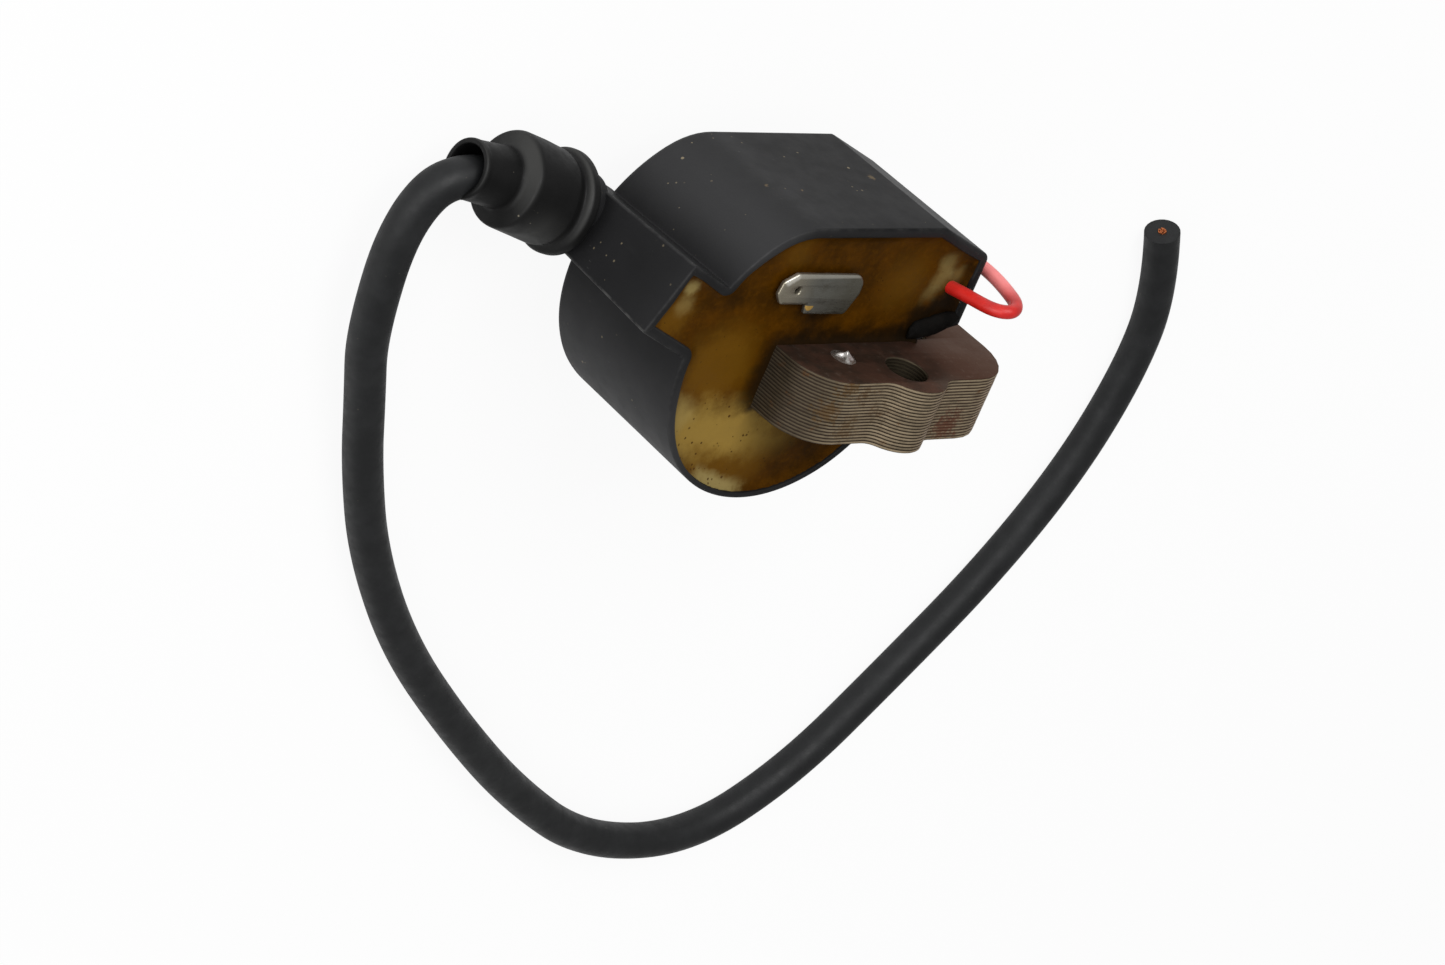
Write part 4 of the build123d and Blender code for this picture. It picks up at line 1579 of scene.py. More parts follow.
    def build(self, frame: CoilFrame) -> Piece:
        """Make the case as one piece: walls, floor with its window, tower, pad and spout.

        Args:
            frame: the coil's frame.

        Returns:
            The piece.
        """
        shape = Shape()
        points, wear = self.rows()
        points = self.cut_notch(points)
        shape.grid(points, wear=wear)
        left, right, low, high = self.window
        square = np.array([[left, low], [right, low], [right, high], [left, high]])
        floor_z, inner_z = -self.depth, self.wall - self.depth
        hole = [np.column_stack([square, np.full(4, z)]) for z in (floor_z, inner_z)]
        shape.flat([points[0], hole[0]])
        shape.grid(np.stack(hole))
        block = self.tower_block()
        shape.grid(block)
        shape.flat([block[-1]])
        spout = Profile(self.spout_profile).line()
        shape.grid(revolved(spout, *self.spout.axis(), 64))
        case = weld(shape.build("case_moulding", frame))
        sharpen(case)
        return finish_piece(case, CasePlastic().material(frame), "case_plastic", ["case_shell"])

    def cut_notch(self, points: Array) -> Array:
        """Lower the rim to the potting where the core's yoke crosses the round wall.

        Args:
            points: array (rows, n, 3) of the wall's points.

        Returns:
            The points, lowered.
        """
        x, y, z = np.moveaxis(points, -1, 0)
        low, high = self.notch_y
        crossed = (x > self.notch_left) & (y > low) & (y < high) & (z > -self.notch_depth)
        lowered = points.copy()
        lowered[..., 2] = np.where(crossed, np.minimum(z, -self.notch_depth + 0.02 * z), z)
        return lowered


@dataclass
class Potting:
    """Resin surface in the case, with a meniscus at the walls and round what comes out of it.

    Each of the waves is a height, the shortest length and a seed of soft lumps.
    """

    level: float = -1.0
    step: float = 0.4
    climb: float = 0.62
    reach: float = 0.55
    core: Four = (0.0, 40.6, -10.0, 0.0)
    core_climb: float = 0.5
    core_reach: float = 0.6
    wire: Pair = (30.5, 8.7)
    wire_climb: float = 0.45
    wire_reach: float = 0.7
    waves: Waves = ((0.05, 4.0, 5), (0.018, 1.2, 6))
    border: float = 0.66
    buried: float = 0.5
    thickness: float = 0.8

    def build(self, frame: CoilFrame, case: CaseShell) -> Piece:
        """Make the surface as a height over a square grid.

        The height is the level, plus a climb that dies away with the distance from the nearest wall,
        plus soft lumps. The grid's ragged border lies within the case's walls.

        Args:
            frame: the coil's frame.
            case: the case.

        Returns:
            The piece.
        """
        outer = case.drawn_in(case.wall * self.border, self.level)
        wall = case.drawn_in(case.wall, self.level)
        low, high = outer.min(axis=0), outer.max(axis=0)
        xs = np.arange(low[0] - self.step, high[0] + 2 * self.step, self.step)
        ys = np.arange(low[1] - self.step, high[1] + 2 * self.step, self.step)
        flat = np.stack(np.meshgrid(xs, ys), axis=-1)
        rows, columns = flat.shape[:2]
        spots = flat.reshape(-1, 2)
        gap = distance_to(spots, wall)
        gap = np.where(inside(spots, wall), gap, 0.0)
        left, right, bottom, top = self.core
        beside = np.maximum(np.maximum(left - spots[:, 0], spots[:, 0] - right), 0)
        above = np.maximum(np.maximum(bottom - spots[:, 1], spots[:, 1] - top), 0)
        core_gap = np.hypot(beside, above)
        wire_gap = np.hypot(spots[:, 0] - self.wire[0], spots[:, 1] - self.wire[1])
        rise = self.core_climb * np.exp(-core_gap / self.core_reach)
        for amount, size, seed in self.waves:
            rise = rise + amount * lumps(spots, size, seed)
        height = self.level + self.climb * np.exp(-gap / self.reach) + rise
        height += self.wire_climb * np.exp(-wire_gap / self.wire_reach)
        grid = np.column_stack([spots, height])
        centres = (flat[:-1, :-1] + flat[1:, 1:]).reshape(-1, 2) / 2
        keep = inside(centres, outer)
        x, y = centres.T
        keep &= ~((x > left + self.buried) & (y > bottom + self.buried) & (y < top - self.buried))
        quads = quads_between(np.arange(rows * columns).reshape(rows, columns))[keep]
        used, compact = np.unique(quads, return_inverse=True)
        shape = Shape()
        shape.take(grid[used], None)
        shape.quads.append(compact.reshape(quads.shape))
        resin = shape.build("potting_surface", frame)
        thick = resin.modifiers.new("thickness", "SOLIDIFY")
        thick.thickness = self.thickness * MM
        thick.offset = -1.0
        return finish_piece(resin, AmberResin().material(frame), "potting_epoxy", ["potting_resin"])


@dataclass
class LaminatedCore:
    """Stack of stamped plates: a U with a lobe at each screw hole."""

    count: int = 20
    thickness: float = 0.5
    width: float = 40.6
    leg: float = 10.0
    yoke_front: float = 9.7
    yoke_back: float = -1.0
    pole: float = -34.5
    flywheel: float = 46.0
    lobe: float = 6.2
    fillet: float = 3.0
    right_round: float = 8.5
    left_round: float = 7.0
    pole_edge: float = 0.2
    window_corner: float = 0.4
    slip: float = 0.01
    recess: float = 0.004
    gap: float = 0.012
    front_hole: Pair = (19.6, 6.5)
    rear_hole: Pair = (36.0, -17.0)
    hole_radius: float = 3.2
    rivets: tuple[Pair, ...] = ((10.0, 3.0), (35.6, -28.0))
    rivet_radius: float = 1.05
    head_radius: float = 1.9
    edge: float = 0.05

    def outline(self) -> Outline:
        """The plate's outline in X and Z, turning left, from the free leg's right side.

        Returns:
            The outline.
        """
        arc_centre = (self.width / 2, self.pole - math.sqrt(self.flywheel**2 - (self.width / 2) ** 2))
        inner = self.width - self.leg
        lobe_x, lobe_z = self.front_hole
        rear_x, rear_z = self.rear_hole
        side_reach = math.sqrt(self.lobe**2 - (self.width - rear_x) ** 2)
        top_reach = math.sqrt(self.lobe**2 - (self.yoke_front - lobe_z) ** 2)
        sides = (
            Side((self.width, -30.0), (0.0, 1.0)),
            Side(self.rear_hole, radius=self.lobe, samples=16),
            Side((self.width, 0.0), (0.0, 1.0)),
            Side((30.0, self.yoke_front), (-1.0, 0.0)),
            Side(self.front_hole, radius=self.lobe, samples=24),
            Side((5.0, self.yoke_front), (-1.0, 0.0)),
            Side((0.0, 0.0), (0.0, -1.0)),
            Side(arc_centre, radius=self.flywheel, turn=-1),
            Side((self.leg, -20.0), (0.0, 1.0)),
            Side((20.0, self.yoke_back), (1.0, 0.0)),
            Side((inner, -20.0), (0.0, -1.0)),
            Side(arc_centre, radius=self.flywheel, turn=-1),
        )
        pole_inner = arc_centre[1] + math.sqrt(self.flywheel**2 - (self.width / 2 - self.leg) ** 2)
        corners = (
            (-self.fillet, self.width + 0.8, rear_z - side_reach - 1.5),
            (-self.fillet, self.width + 0.8, rear_z + side_reach + 1.5),
            (self.right_round, self.width, self.yoke_front),
            (-self.fillet, lobe_x + top_reach + 1.5, self.yoke_front + 1.0),
            (-self.fillet, lobe_x - top_reach - 1.5, self.yoke_front + 1.0),
            (self.left_round, 0.0, self.yoke_front),
            (self.pole_edge, 0.0, self.pole),
            (self.pole_edge, self.leg, pole_inner),
            (-self.window_corner, self.leg, self.yoke_back),
            (-self.window_corner, inner, self.yoke_back),
            (self.pole_edge, inner, pole_inner),
            (self.pole_edge, self.width, self.pole),
        )
        return Outline(sides, corners, corner_samples=7)

    def plate(self, number: int, outline: Outline, frame: CoilFrame, steel: Material) -> Piece:
        """Make one plate with rounded edges, its holes and a small slip in its own plane.

        Args:
            number: the plate's number from the top, from 1.
            outline: the plates' outline.
            frame: the coil's frame.
            steel: the plates' material.

        Returns:
            The plate.
        """
        chance = np.random.default_rng(100 + number)
        slip = chance.uniform(-self.slip, self.slip, 2)
        top = -(number - 1) * self.thickness - self.recess
        bottom = top - self.thickness + self.gap
        soft = self.edge * (2.2 if number == 1 else 1.0)
        rows = [(soft, top), (soft * 0.3, top - soft * 0.3), (0.0, top - soft)]
        rows += [(0.0, bottom + self.edge), (self.edge, bottom)]
        shape = Shape()

        def lift(line: Array, y: float) -> Array:
            """Put an outline at a height across the stack."""
            moved = line + slip
            return np.column_stack([moved[:, 0], np.full(len(line), y), moved[:, 1]])

        wall = np.stack([lift(outline.at(inset), y) for inset, y in rows])
        shape.grid(wall)
        holes = [(self.front_hole, self.hole_radius), (self.rear_hole, self.hole_radius)]
        holes += [(rivet, self.rivet_radius) for rivet in self.rivets]
        bores = []
        for centre, radius in holes:
            samples = 40 if radius > 2 else 16
            bore = np.stack([lift(ring(centre, radius + inset, samples), y) for inset, y in rows])
            shape.grid(bore, flip=True)
            bores.append(bore)
        shape.flat([wall[0], *[bore[0] for bore in bores]])
        shape.flat([wall[-1], *[bore[-1] for bore in bores]], flip=True)
        plate = weld(shape.build(f"core_plate_{number:02d}", frame))
        sharpen(plate)
        return finish_piece(plate, steel, "core_steel", [f"lamination_{number:02d}"])

    def head(self, x: float, y: float, z: float, side: int, turn: float) -> Array:
        """A staked rivet head: two ridges that cross on a low dome, all level at its border.

        Args:
            x: the rivet's X.
            y: height of the plate's face that it stands on.
            z: the rivet's Z.
            side: 1 for a head above the face, -1 for one below it.
            turn: angle of the longer ridge.

        Returns:
            Array (18, 36, 3).
        """
        radius = np.linspace(self.head_radius, 0.0, 18)[:, None]
        angle = np.linspace(0, math.tau, 36, endpoint=False)[None, :]
        a, b = radius * np.cos(angle - turn), radius * np.sin(angle - turn)
        fade = np.clip(1 - (radius / self.head_radius) ** 4, 0, 1)
        long_ridge = np.exp(-((b / 0.42) ** 2)) * np.exp(-((a / 1.5) ** 4))
        cross_ridge = 0.75 * np.exp(-(((a - 0.3) / 0.4) ** 2)) * np.exp(-((b / 1.35) ** 4))
        height = y + side * (fade * (0.14 + 0.55 * (long_ridge + cross_ridge)))
        return np.stack([x + radius * np.cos(angle), height, z + radius * np.sin(angle)], axis=-1)

    def build(self, frame: CoilFrame) -> None:
        """Make the plates and the rivets.

        Args:
            frame: the coil's frame.
        """
        steel = CoreSteel().material(frame)
        outline = self.outline()
        for number in range(1, self.count + 1):
            self.plate(number, outline, frame, steel)
        shape = Shape()
        height, radius = self.count * self.thickness, self.rivet_radius - 0.03
        shank, downward = np.array([[0.0, radius], [height, radius]]), np.array([0.0, -1.0, 0.0])
        for k, (x, z) in enumerate(self.rivets):
            for y, side in ((0.0, 1), (-height, -1)):
                shape.grid(self.head(x, y, z, side, 0.5 + 1.1 * k), flip=side > 0)
            shape.grid(revolved(shank, np.array([x, 0.0, z]), downward, 24))
        rivets = weld(shape.build("staked_rivets", frame))
        bright = Metal("rivet_steel", linear(188, 184, 180), linear(112, 100, 90), 0.26, 0.5).material()
        finish_piece(rivets, bright, "rivet_steel", ["core_rivets"])


@dataclass
class BladeTerminal:
    """Tinned blade: a narrow tip with a chamfered end, a wider base and rounded upper edges.

    A corner of the outline is its X, its Y and its radius, negative where the metal is hollow.
    """

    top: float = 0.5
    thickness: float = 0.8
    bevel: float = 0.5
    bevel_drop: float = 0.55
    under_edge: float = 0.12
    hole: Pair = (-1.5, 9.3)
    hole_radius: float = 0.55
    root: Pair = (3.2, 8.8)
    root_y: Pair = (5.5, 6.3)
    root_depth: float = 3.4
    samples: int = 24
    corners: tuple[Triple, ...] = (
        (-5.0, 8.6, 0.7), (-3.8, 7.1, 0.6), (1.2, 7.0, -0.1), (1.5, 5.5, 0.3), (9.6, 5.3, 0.9),
        (11.0, 8.6, 1.0), (10.9, 11.6, 2.0), (-2.4, 11.9, 0.5), (-4.7, 10.6, 0.5),
    )

    def outline(self) -> Outline:
        """The blade's outline, turning left.

        Returns:
            The outline.
        """
        points = np.array([corner[:2] for corner in self.corners])
        runs = np.roll(points, -1, axis=0) - points
        runs /= np.linalg.norm(runs, axis=1, keepdims=True)
        sides = tuple(Side(tuple(p), tuple(run), samples=3) for p, run in zip(points, runs))
        ends = tuple((radius, x, y) for x, y, radius in (*self.corners[1:], self.corners[0]))
        return Outline(sides, ends)

    def build(self, frame: CoilFrame) -> Piece:
        """Make the blade: its edge, rounded over its upper side, a hole and a root into the resin.

        Args:
            frame: the coil's frame.

        Returns:
            The piece.
        """
        outline = self.outline()
        angles = np.linspace(0, math.pi / 2, 5)
        drop = self.bevel_drop * self.bevel
        over = [(self.bevel * (1 - math.cos(a)), self.top - drop * (1 - math.sin(a))) for a in angles]
        under, soft = self.top - self.thickness, self.under_edge
        rows = [(soft, under), (0.0, under + soft), *over]
        shape = Shape()

        def level(line: Array, z: float) -> Array:
            """Put an outline at a height."""
            return np.column_stack([line, np.full(len(line), z)])

        edge = np.stack([level(outline.at(inset), z) for inset, z in rows])
        shape.grid(edge)
        bore = np.stack(
            [
                level(ring(self.hole, self.hole_radius + out, self.samples), self.top - deep)
                for out, deep in ((0.3, 0.0), (0.12, 0.06), (0.0, 0.25), (0.0, self.thickness))
            ]
        )
        shape.grid(bore)
        shape.flat([edge[-1], bore[0]])
        shape.flat([edge[0], bore[-1]])
        left, right = self.root
        low, high = self.top - self.root_depth, self.top - self.thickness + 0.05
        near, far = self.root_y
        square = np.array([[left, near], [right, near], [right, far], [left, far]])
        shape.grid(np.stack([level(square, low), level(square, high)]))
        shape.flat([level(square, low)])
        blade = weld(shape.build("blade_tab", frame))
        sharpen(blade)
        tin = BladeTin().material(frame)
        return finish_piece(blade, tin, "terminal_tin", ["blade_terminal"])


@dataclass
class LeadBoot:
    """Rubber boot over the spout: a flange, a stepped barrel and a sleeve with an open mouth.

    The outside is a closed profile of distance along the axis and radius. A rubbed place is its
    distance, its spread, the least radius that is rubbed and its share. The bow moves the centre
    line aside, by rows of distance and offset.
    """

    spout: Spout = Spout()
    outside: tuple[Pair, ...] = (
        (0.05, 4.95), (0.05, 7.0), (0.45, 7.4), (1.6, 7.4), (2.0, 7.1), (2.35, 6.4), (3.0, 6.45),
        (3.7, 6.8), (7.0, 6.85), (10.8, 6.85), (11.4, 6.65), (11.95, 4.75), (12.4, 4.35), (18.0, 4.2),
        (18.6, 4.3), (19.05, 4.2), (19.1, 3.5), (18.5, 3.4), (14.0, 3.3), (9.7, 3.02), (9.62, 4.9),
    )
    rubbed: tuple[Four, ...] = ((1.9, 0.25, 6.5, 0.6), (11.7, 0.45, 4.5, 0.7), (19.0, 0.3, 4.1, 0.3))
    rubbed_side: Triple = (0.3, 0.8, 0.5)
    # Painted reflection: the distance, spread and share of a soft lighter band along one side of the barrel.
    bloom_and_sheen: Triple = (6.5, 3.0, 0.6)
    bow: tuple[Pair, ...] = ((0.0, -0.3), (2.5, -0.25), (7.0, 0.2), (10.5, 0.4), (13.0, 0.3), (19.0, 0.0))
    bow_side: Triple = (0.04, 0.835, -0.549)
    oval: float = 0.008
    five_sided: float = 0.004
    rounding: float = 0.32
    samples: int = 96

    def wear(self, along: Array, out: Array, outward: Array) -> Array:
        """Wear and painted reflection: rubbed places on one side, and a soft painted reflection on the other.

        Args:
            along: array (n, 1) of distances along the axis.
            out: array (n, 1) of radii.
            outward: array (n, samples, 3) of directions away from the axis.

        Returns:
            Array (n, samples) from 0 to 1.
        """
        rubbed = sum(
            share * np.exp(-(((along - place) / spread) ** 2)) * (out > least)
            for place, spread, least, share in self.rubbed
        )
        rubbed = rubbed * np.clip(outward @ np.array(self.rubbed_side), 0.0, 1.0)
        # Painted reflection: a soft lighter band on the side turned away from the bow's direction.
        place, spread, share = self.bloom_and_sheen
        turned = np.clip(-outward @ np.array(self.bow_side), 0.0, 1.0) ** 3
        return rubbed + share * np.exp(-(((along - place) / spread) ** 2)) * turned

    def build(self, frame: CoilFrame) -> Piece:
        """Make the boot: a surface of revolution, a little out of round, along a bowed line.

        Args:
            frame: the coil's frame.

        Returns:
            The piece.
        """

        def sway(distance: Array, angle: Array) -> Array:
            """Factor on the radius: an oval and a weaker five-sided wave that turn along the boot."""
            oval = 1 + self.oval * np.sin(2 * angle + distance * 0.2)
            return oval + self.five_sided * np.sin(5 * angle - distance * 0.5)

        line = Profile((*self.outside, self.outside[0]), self.rounding).line()[:-1]
        along = line[:, :1]
        seat, axis = self.spout.axis()
        points = revolved(line, seat, axis, self.samples, sway)
        outward = points - (seat + along[..., None] * axis)
        outward = outward / np.linalg.norm(outward, axis=-1, keepdims=True)
        places, offsets = np.transpose(self.bow)
        bowed = points + np.interp(along, places, offsets)[..., None] * np.array(self.bow_side)
        shape = Shape()
        worn = self.wear(along, line[:, 1:], outward)
        shape.grid(bowed, closed_rows=True, wear=worn)
        boot = weld(shape.build("rubber_boot", frame))
        skin = Rubber("boot_rubber", linear(7, 7, 7), linear(13, 13, 13), 0.5, 0.5, specular=0.2).material()
        return finish_piece(boot, skin, "boot_rubber", ["lead_boot"])


@dataclass
class StopWire:
    """Red wire that leaves the potting, bows over the rim and goes back through the right wall."""

    radius: float = 1.0
    route: tuple[Triple, ...] = (
        (30.5, 8.7, -3.2), (30.5, 8.6, -1.3), (30.4, 9.0, 0.4), (30.9, 9.3, 3.1), (31.2, 9.6, 5.9),
        (31.9, 9.9, 7.6), (33.1, 10.3, 8.7), (35.0, 10.4, 8.0), (36.3, 10.5, 6.3), (36.9, 10.5, 4.8),
        (38.0, 10.5, 1.4), (38.6, 10.5, -2.0), (38.8, 10.3, -6.4), (37.9, 9.9, -11.3), (36.4, 8.9, -14.4),
        (34.1, 8.3, -15.3), (31.0, 8.1, -15.1),
    )
    # Painted highlight: the back strand lighter and pinker where it is lit.
    painted_highlight: PaintedHighlight = PaintedHighlight((38.4, 10.5, -1.0), 3.0, 9.4, linear(250, 146, 144))

    def build(self, frame: CoilFrame) -> Piece:
        """Make the insulation as a tube on a cubic spline.

        Args:
            frame: the coil's frame.

        Returns:
            The piece.
        """
        path = cubic_path(np.array(self.route), 120)
        shape = Shape()
        shape.grid(tube(path, self.radius, 24))
        wire = weld(shape.build("red_stop_wire", frame))
        red = Moulding("wire_red", linear(200, 30, 22), linear(178, 18, 14), 0.42, 3.0)
        replaced = ["stop_wire_insulation", "stop_wire_core"]
        return finish_piece(wire, red.material(frame, self.painted_highlight), "wire_red", replaced)


@dataclass
class Residue:
    """Black sealant left in lumps where the yoke meets the case.

    Each of the waves is a share of the radius, the shortest length and a seed of soft lumps.
    """

    middle: Triple = (29.8, 2.7, -0.5)
    size: Triple = (4.6, 1.7, 0.95)
    slope: float = 0.255
    waves: Waves = ((0.15, 2.4, 21), (0.06, 0.9, 22))

    def build(self, frame: CoilFrame) -> Piece:
        """Make the lump: an ellipsoid whose radius is swayed by soft random waves.

        Args:
            frame: the coil's frame.

        Returns:
            The piece.
        """
        down = np.linspace(0.02, math.pi - 0.02, 40)[:, None]
        around = np.linspace(0, math.tau, 64, endpoint=False)[None, :]
        parts = (np.sin(down) * np.cos(around), np.sin(down) * np.sin(around), np.cos(down))
        scaled = np.stack(np.broadcast_arrays(*parts), axis=-1) * np.array(self.size)
        swell = np.ones(scaled.shape[:-1])
        for share, size, seed in self.waves:
            swell = swell + share * lumps(scaled, size, seed)
        sloped = scaled * swell[..., None]
        cos, sin = math.cos(self.slope), math.sin(self.slope)
        sloped[..., :2] = sloped[..., :2] @ np.array([[cos, -sin], [sin, cos]]).T
        points = np.array(self.middle) + sloped
        shape = Shape()
        shape.grid(points)
        shape.fan(points[0], points[0].mean(axis=0))
        shape.fan(points[-1], points[-1].mean(axis=0), flip=True)
        residue = weld(shape.build("sealant_residue", frame))
        black = Rubber("sealant_black", linear(11, 10, 9), linear(20, 18, 16), 0.7, 0.2, 0.05, 0.05)
        return finish_piece(residue, black.material(), "case_plastic")


@dataclass
class Studio:
    """Floor, lamps and camera."""

    camera_point: Triple = (-446.96, 243.78, 370.91)
    right: Triple = (0.7130, 0.3603, 0.6015)
    down: Triple = (-0.0412, -0.8348, 0.5490)
    lens: float = 114.53
    lamps: tuple[tuple[str, Triple, float, float], ...] = (
        ("key_lamp", (-0.25, 0.75, 0.75), 0.7, 7.6),
        ("fill_lamp", (-0.95, 0.1, 0.4), 0.8, 5.8),
    )
    world_strength: float = 0.42
    floor_reach: float = 4.0
    floor_drop: float = 0.00005

    def camera(self, frame: CoilFrame) -> None:
        """Set up the camera from its right and down directions.

        Args:
            frame: the coil's frame.
        """
        right = Vector(self.right).normalized()
        down = Vector(self.down)
        down = (down - right * down.dot(right)).normalized()
        away = right.cross(down)
        data = bpy.data.cameras.new("camera")
        data.lens = self.lens
        data.sensor_width = 36.0
        data.clip_start, data.clip_end = 0.01, 20.0
        camera = bpy.data.objects.new("camera", data)
        bpy.context.scene.collection.objects.link(camera)
        place = Vector(frame.place(np.array(self.camera_point)))
        turn = Matrix((right, -down, -away)).transposed().to_4x4()
        camera.matrix_world = Matrix.Translation(place) @ turn
        bpy.context.scene.camera = camera

    def lamp(self, name: str, place: Triple, size: float, power: float) -> None:
        """Add a square lamp aimed at the coil.

        Args:
            name: the lamp's name.
            place: its place in the row frame, in metres.
            size: its side in metres.
            power: its power in watts.
        """
        data = bpy.data.lights.new(name, "AREA")
        data.shape = "SQUARE"
        data.size = size
        data.energy = power
        lamp = bpy.data.objects.new(name, data)
        bpy.context.scene.collection.objects.link(lamp)
        aim = Vector((0.0, 0.0, 0.02)) - Vector(place)
        lamp.rotation_mode = "QUATERNION"
        lamp.rotation_quaternion = aim.to_track_quat("-Z", "Y")
        lamp.location = place

    def floor(self) -> None:
        """A wide pale floor that stays near white and keeps a soft shadow."""
        mesh = bpy.data.meshes.new("floor")
        reach, low = self.floor_reach, -self.floor_drop
        corners = [(x * reach, y * reach, low) for x, y in ((-1, -1), (1, -1), (1, 1), (-1, 1))]
        mesh.from_pydata(corners, [], [[0, 1, 2, 3]])
        floor = bpy.data.objects.new("floor", mesh)
        bpy.context.scene.collection.objects.link(floor)
        g = NodeGraph("floor")
        path = g.add("LightPath")
        mirrored = g.times(path.outputs["Is Glossy Ray"], 0.3)
        seen = g.math(Op.MAXIMUM, path.outputs["Is Camera Ray"], mirrored)
        lit = g.add("BsdfDiffuse")
        lit.inputs["Color"].default_value = (0.86, 0.86, 0.86, 1.0)
        glow = g.add("Emission")
        glow.inputs["Color"].default_value = (1.0, 1.0, 1.0, 1.0)
        glow.inputs["Strength"].default_value = 1.0
        blend = g.add("MixShader")
        g.feed(blend.inputs[0], g.times(seen, 0.92))
        g.feed(blend.inputs[1], lit.outputs[0])
        g.feed(blend.inputs[2], glow.outputs[0])
        g.feed(g.output.inputs["Surface"], blend.outputs[0])
        mesh.materials.append(g.material)

    def light(self) -> None:
        """Soft studio light from above and the sides, and a pale world."""
        for lamp in self.lamps:
            self.lamp(*lamp)
        world = bpy.data.worlds.new("studio")
        bpy.context.scene.world = world
        world.use_nodes = True
        back = world.node_tree.nodes["Background"]
        back.inputs["Color"].default_value = (1.0, 1.0, 1.0, 1.0)
        back.inputs["Strength"].default_value = self.world_strength
        bpy.context.scene.view_settings.view_transform = "Standard"


@dataclass
class HighTensionLead:
    """The lead: a free rubber-covered cord that ends in a cut with bare strands."""

    radius: float = 2.9
    spout: Spout = Spout()
    start: float = 10.5
    first_bend: float = 20.3
    rest: float = -31.6
    route: tuple[Triple, ...] = (
        (-50.2, 4.3, 5.0), (-47.0, -14.5, 3.4), (-41.7, -25.2, 2.0), (-36.1, -37.8, 0.9),
        (-27.7, -53.4, 0.1), (-14.5, -70.5, 0.0), (2.5, -86.0, 0.0), (21.5, -101.0, 0.0),
        (42.0, -113.0, 0.0), (65.5, -115.0, 0.0), (83.0, -103.5, 0.0), (96.5, -85.0, 0.0),
        (109.5, -66.0, 0.0), (118.5, -46.5, 0.0), (122.0, -27.5, 0.0), (120.5, -12.5, 0.0),
        (114.0, -1.0, 0.0),
    )
    strand_radius: float = 0.135
    strand_rings: tuple[tuple[float, int], ...] = ((0.0, 1), (0.3, 6), (0.58, 12))
    strand_root: float = 1.2
    strand_dome: float = 0.08

    def points(self) -> Array:
        """The lead's points: two on the spout's axis, then the route along the bench.

        Returns:
            Array (n, 3) in millimetres.
        """
        seat, axis = self.spout.axis()
        route = np.array(self.route) + np.array([0.0, 0.0, self.rest])
        return np.vstack([seat + axis * self.start, seat + axis * self.first_bend, route])

    def build(self, frame: CoilFrame) -> Piece:
        """Make the jacket as a round curve on a NURBS spline through the route's points.

        Args:
            frame: the coil's frame.

        Returns:
            The lead.
        """
        points = frame.place(self.points())
        curve = bpy.data.curves.new("lead_jacket", "CURVE")
        curve.dimensions = "3D"
        spline = curve.splines.new("NURBS")
        spline.points.add(len(points) - 1)
        spline.points.foreach_set("co", np.hstack([points, np.ones((len(points), 1))]).ravel())
        spline.order_u = 3
        spline.use_endpoint_u = True
        curve.resolution_u = 14
        line = curve_line(curve)
        curve.bevel_depth = self.radius * MM
        curve.bevel_resolution = 10
        curve.use_fill_caps = True
        lead = bpy.data.objects.new("lead_jacket", curve)
        bpy.context.scene.collection.objects.link(lead)
        skin = Rubber("lead_skin", linear(18, 19, 20), linear(28, 29, 30), 0.5, 0.12, 0.008, 0.3).material()
        finish_piece(lead, skin, "lead_jacket", ["high_tension_lead"])
        strands = self.strands(line)
        return lead

    def strands(self, line: Array) -> Piece:
        """Cut copper strands in the middle of the free end.

        Each strand is a short tube with a domed tip, and the tips lie in two rings round one.

        Args:
            line: array (n, 3) of points along the lead's own line, in metres.

        Returns:
            The strands as one piece.
        """
        end = line[-1] / MM
        along = (line[-1] - line[-2]) / np.linalg.norm(line[-1] - line[-2])
        side = np.cross(along, [0.0, 0.0, 1.0])
        side /= np.linalg.norm(side)
        up = np.cross(side, along)
        turns = [(r, math.tau * k / count + r) for r, count in self.strand_rings for k in range(count)]
        share = np.linspace(0, 1, 6)
        widths = self.strand_radius * np.concatenate([[1.0], np.cos(share * math.pi / 2)])
        rises = np.concatenate([[-self.strand_root], self.strand_dome * np.sin(share * math.pi / 2)])
        angles = np.linspace(0, math.tau, 10, endpoint=False)
        circle = np.stack([np.cos(angles), np.sin(angles)], axis=1)
        shape = Shape()
        for k, (r, turn) in enumerate(turns):
            reach = 0.16 + 0.12 * math.sin(k * 2.4)
            offset = widths[:, None, None] * circle[None] + np.array([r * math.cos(turn), r * math.sin(turn)])
            across = end + offset[..., :1] * side + offset[..., 1:] * up
            shape.grid(across + (rises + reach)[:, None, None] * along)
        strands = shape.build("lead_strands", None)
        strands.data.transform(Matrix.Scale(MM, 4))
        weld(strands)
        copper = Metal("strand_copper", linear(196, 118, 72), linear(110, 66, 42), 0.34, 0.5).material()
        return finish_piece(strands, copper, "strap_copper", ["lead_conductor"])


def curve_line(curve: bpy.types.Curve) -> Array:
    """Points along a curve's own line, before it has a bevel.

    Args:
        curve: a curve without a bevel.

    Returns:
        Array (n, 3) in metres.
    """
    holder = bpy.data.objects.new("line", curve)
    bpy.context.scene.collection.objects.link(holder)
    mesh = bpy.data.meshes.new_from_object(holder)
    line = np.zeros(len(mesh.vertices) * 3)
    mesh.vertices.foreach_get("co", line)
    bpy.data.objects.remove(holder)
    bpy.data.meshes.remove(mesh)
    return line.reshape(-1, 3)


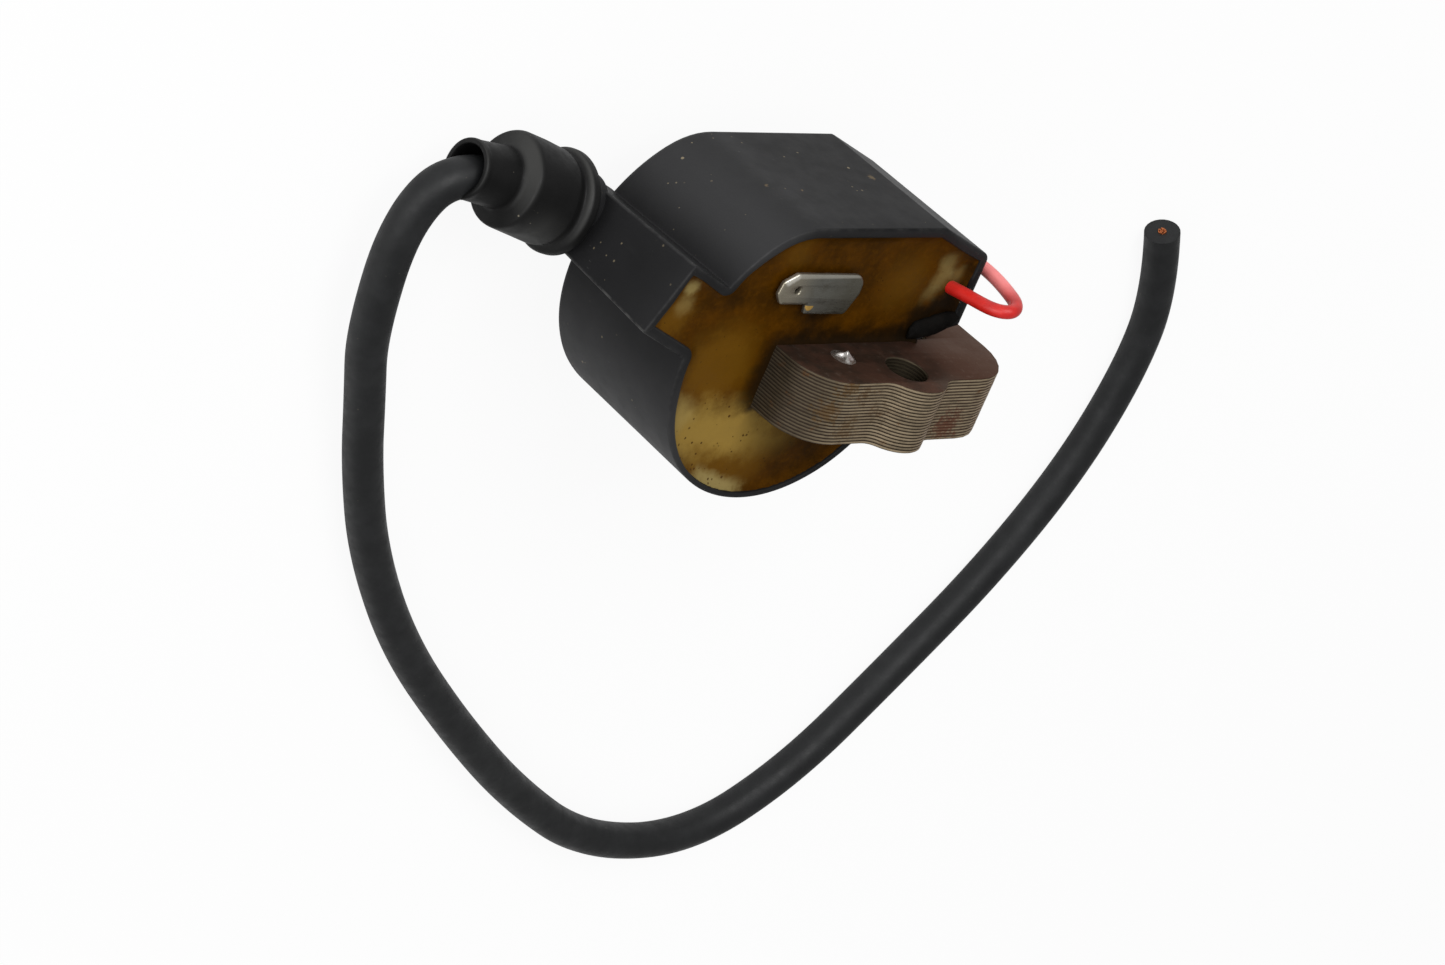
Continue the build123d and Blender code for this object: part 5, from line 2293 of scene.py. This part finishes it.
def inner_finishes() -> dict[str, Metal | Moulding | Rubber | WoundWire]:
    """Finishes of the CAD nodes that have one to themselves.

    Returns:
        Each node's name and its finish.
    """
    return {
        "core_rivets": Metal("rivet_steel", linear(206, 204, 200), linear(120, 108, 98), 0.3, 0.4),
        "primary_bobbin": Moulding("bobbin_nylon", linear(222, 216, 196), linear(204, 196, 172), 0.45),
        "secondary_bobbin": Moulding("bobbin_polyester", linear(206, 198, 170), linear(190, 180, 150), 0.45),
        "primary_winding": WoundWire("primary_wire", 0.45),
        "secondary_winding": WoundWire("secondary_fine_wire", 0.12),
        "insulation_wrap": Moulding("polyester_film", linear(190, 158, 80), linear(172, 138, 62), 0.3),
        "circuit_board": Moulding("board_laminate", linear(44, 92, 52), linear(36, 78, 44), 0.4),
        "storage_capacitor": Moulding("capacitor_dip", linear(158, 84, 28), linear(138, 70, 22), 0.3),
        "power_transistor": Moulding("component_resin", linear(30, 30, 31), linear(40, 40, 41), 0.5),
        "resistors": Moulding("resistor_lacquer", linear(196, 176, 130), linear(180, 158, 112), 0.32),
        "rectifier_diode": Moulding("diode_resin", linear(26, 26, 27), linear(38, 38, 39), 0.42),
        "stop_wire_insulation": Moulding("wire_red", linear(206, 22, 24), linear(184, 14, 18), 0.3),
        "lead_boot": Rubber("boot_rubber", linear(30, 30, 31), linear(46, 46, 47), 0.5),
    }


def dress_nodes(frame: CoilFrame, nodes: dict[str, Piece]) -> None:
    """Give every CAD node that stays its own material.

    Args:
        frame: the coil's frame.
        nodes: the loaded CAD objects by name.
    """
    steel = CoreSteel().material(frame)
    tin = Metal("tin_plate", linear(176, 176, 170), linear(120, 116, 104), 0.36, 0.4).material()
    copper = Metal("bare_copper", linear(190, 112, 70), linear(112, 66, 44), 0.36, 0.4).material()
    finishes = {"case_shell": CasePlastic().material(frame), "potting_resin": AmberResin().material(frame)}
    finishes |= {name: finish.material() for name, finish in inner_finishes().items()}
    finishes |= dict.fromkeys(("primary_pins", "high_tension_contact", "blade_terminal"), tin)
    finishes |= dict.fromkeys(("earth_strap", "secondary_wire", "stop_wire_core"), copper)
    for name, node in nodes.items():
        material = steel if name.startswith("lamination_") else finishes.get(name)
        if material is not None:
            node.data.materials.clear()
            node.data.materials.append(material)


def main() -> None:
    """Build the coil's looks, piece by piece."""
    logging.basicConfig(level=logging.INFO, format="%(name)s %(message)s")
    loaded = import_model()
    frame = CoilFrame.from_nodes()
    studio = Studio()
    studio.camera(frame)
    studio.floor()
    studio.light()
    HighTensionLead().build(frame)
    case = CaseShell()
    case.build(frame)
    Potting().build(frame, case)
    LaminatedCore().build(frame)
    BladeTerminal().build(frame)
    LeadBoot().build(frame)
    StopWire().build(frame)
    Residue().build(frame)
    dress_nodes(frame, loaded["nodes"])
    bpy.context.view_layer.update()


if __name__ == "__main__":
    main()
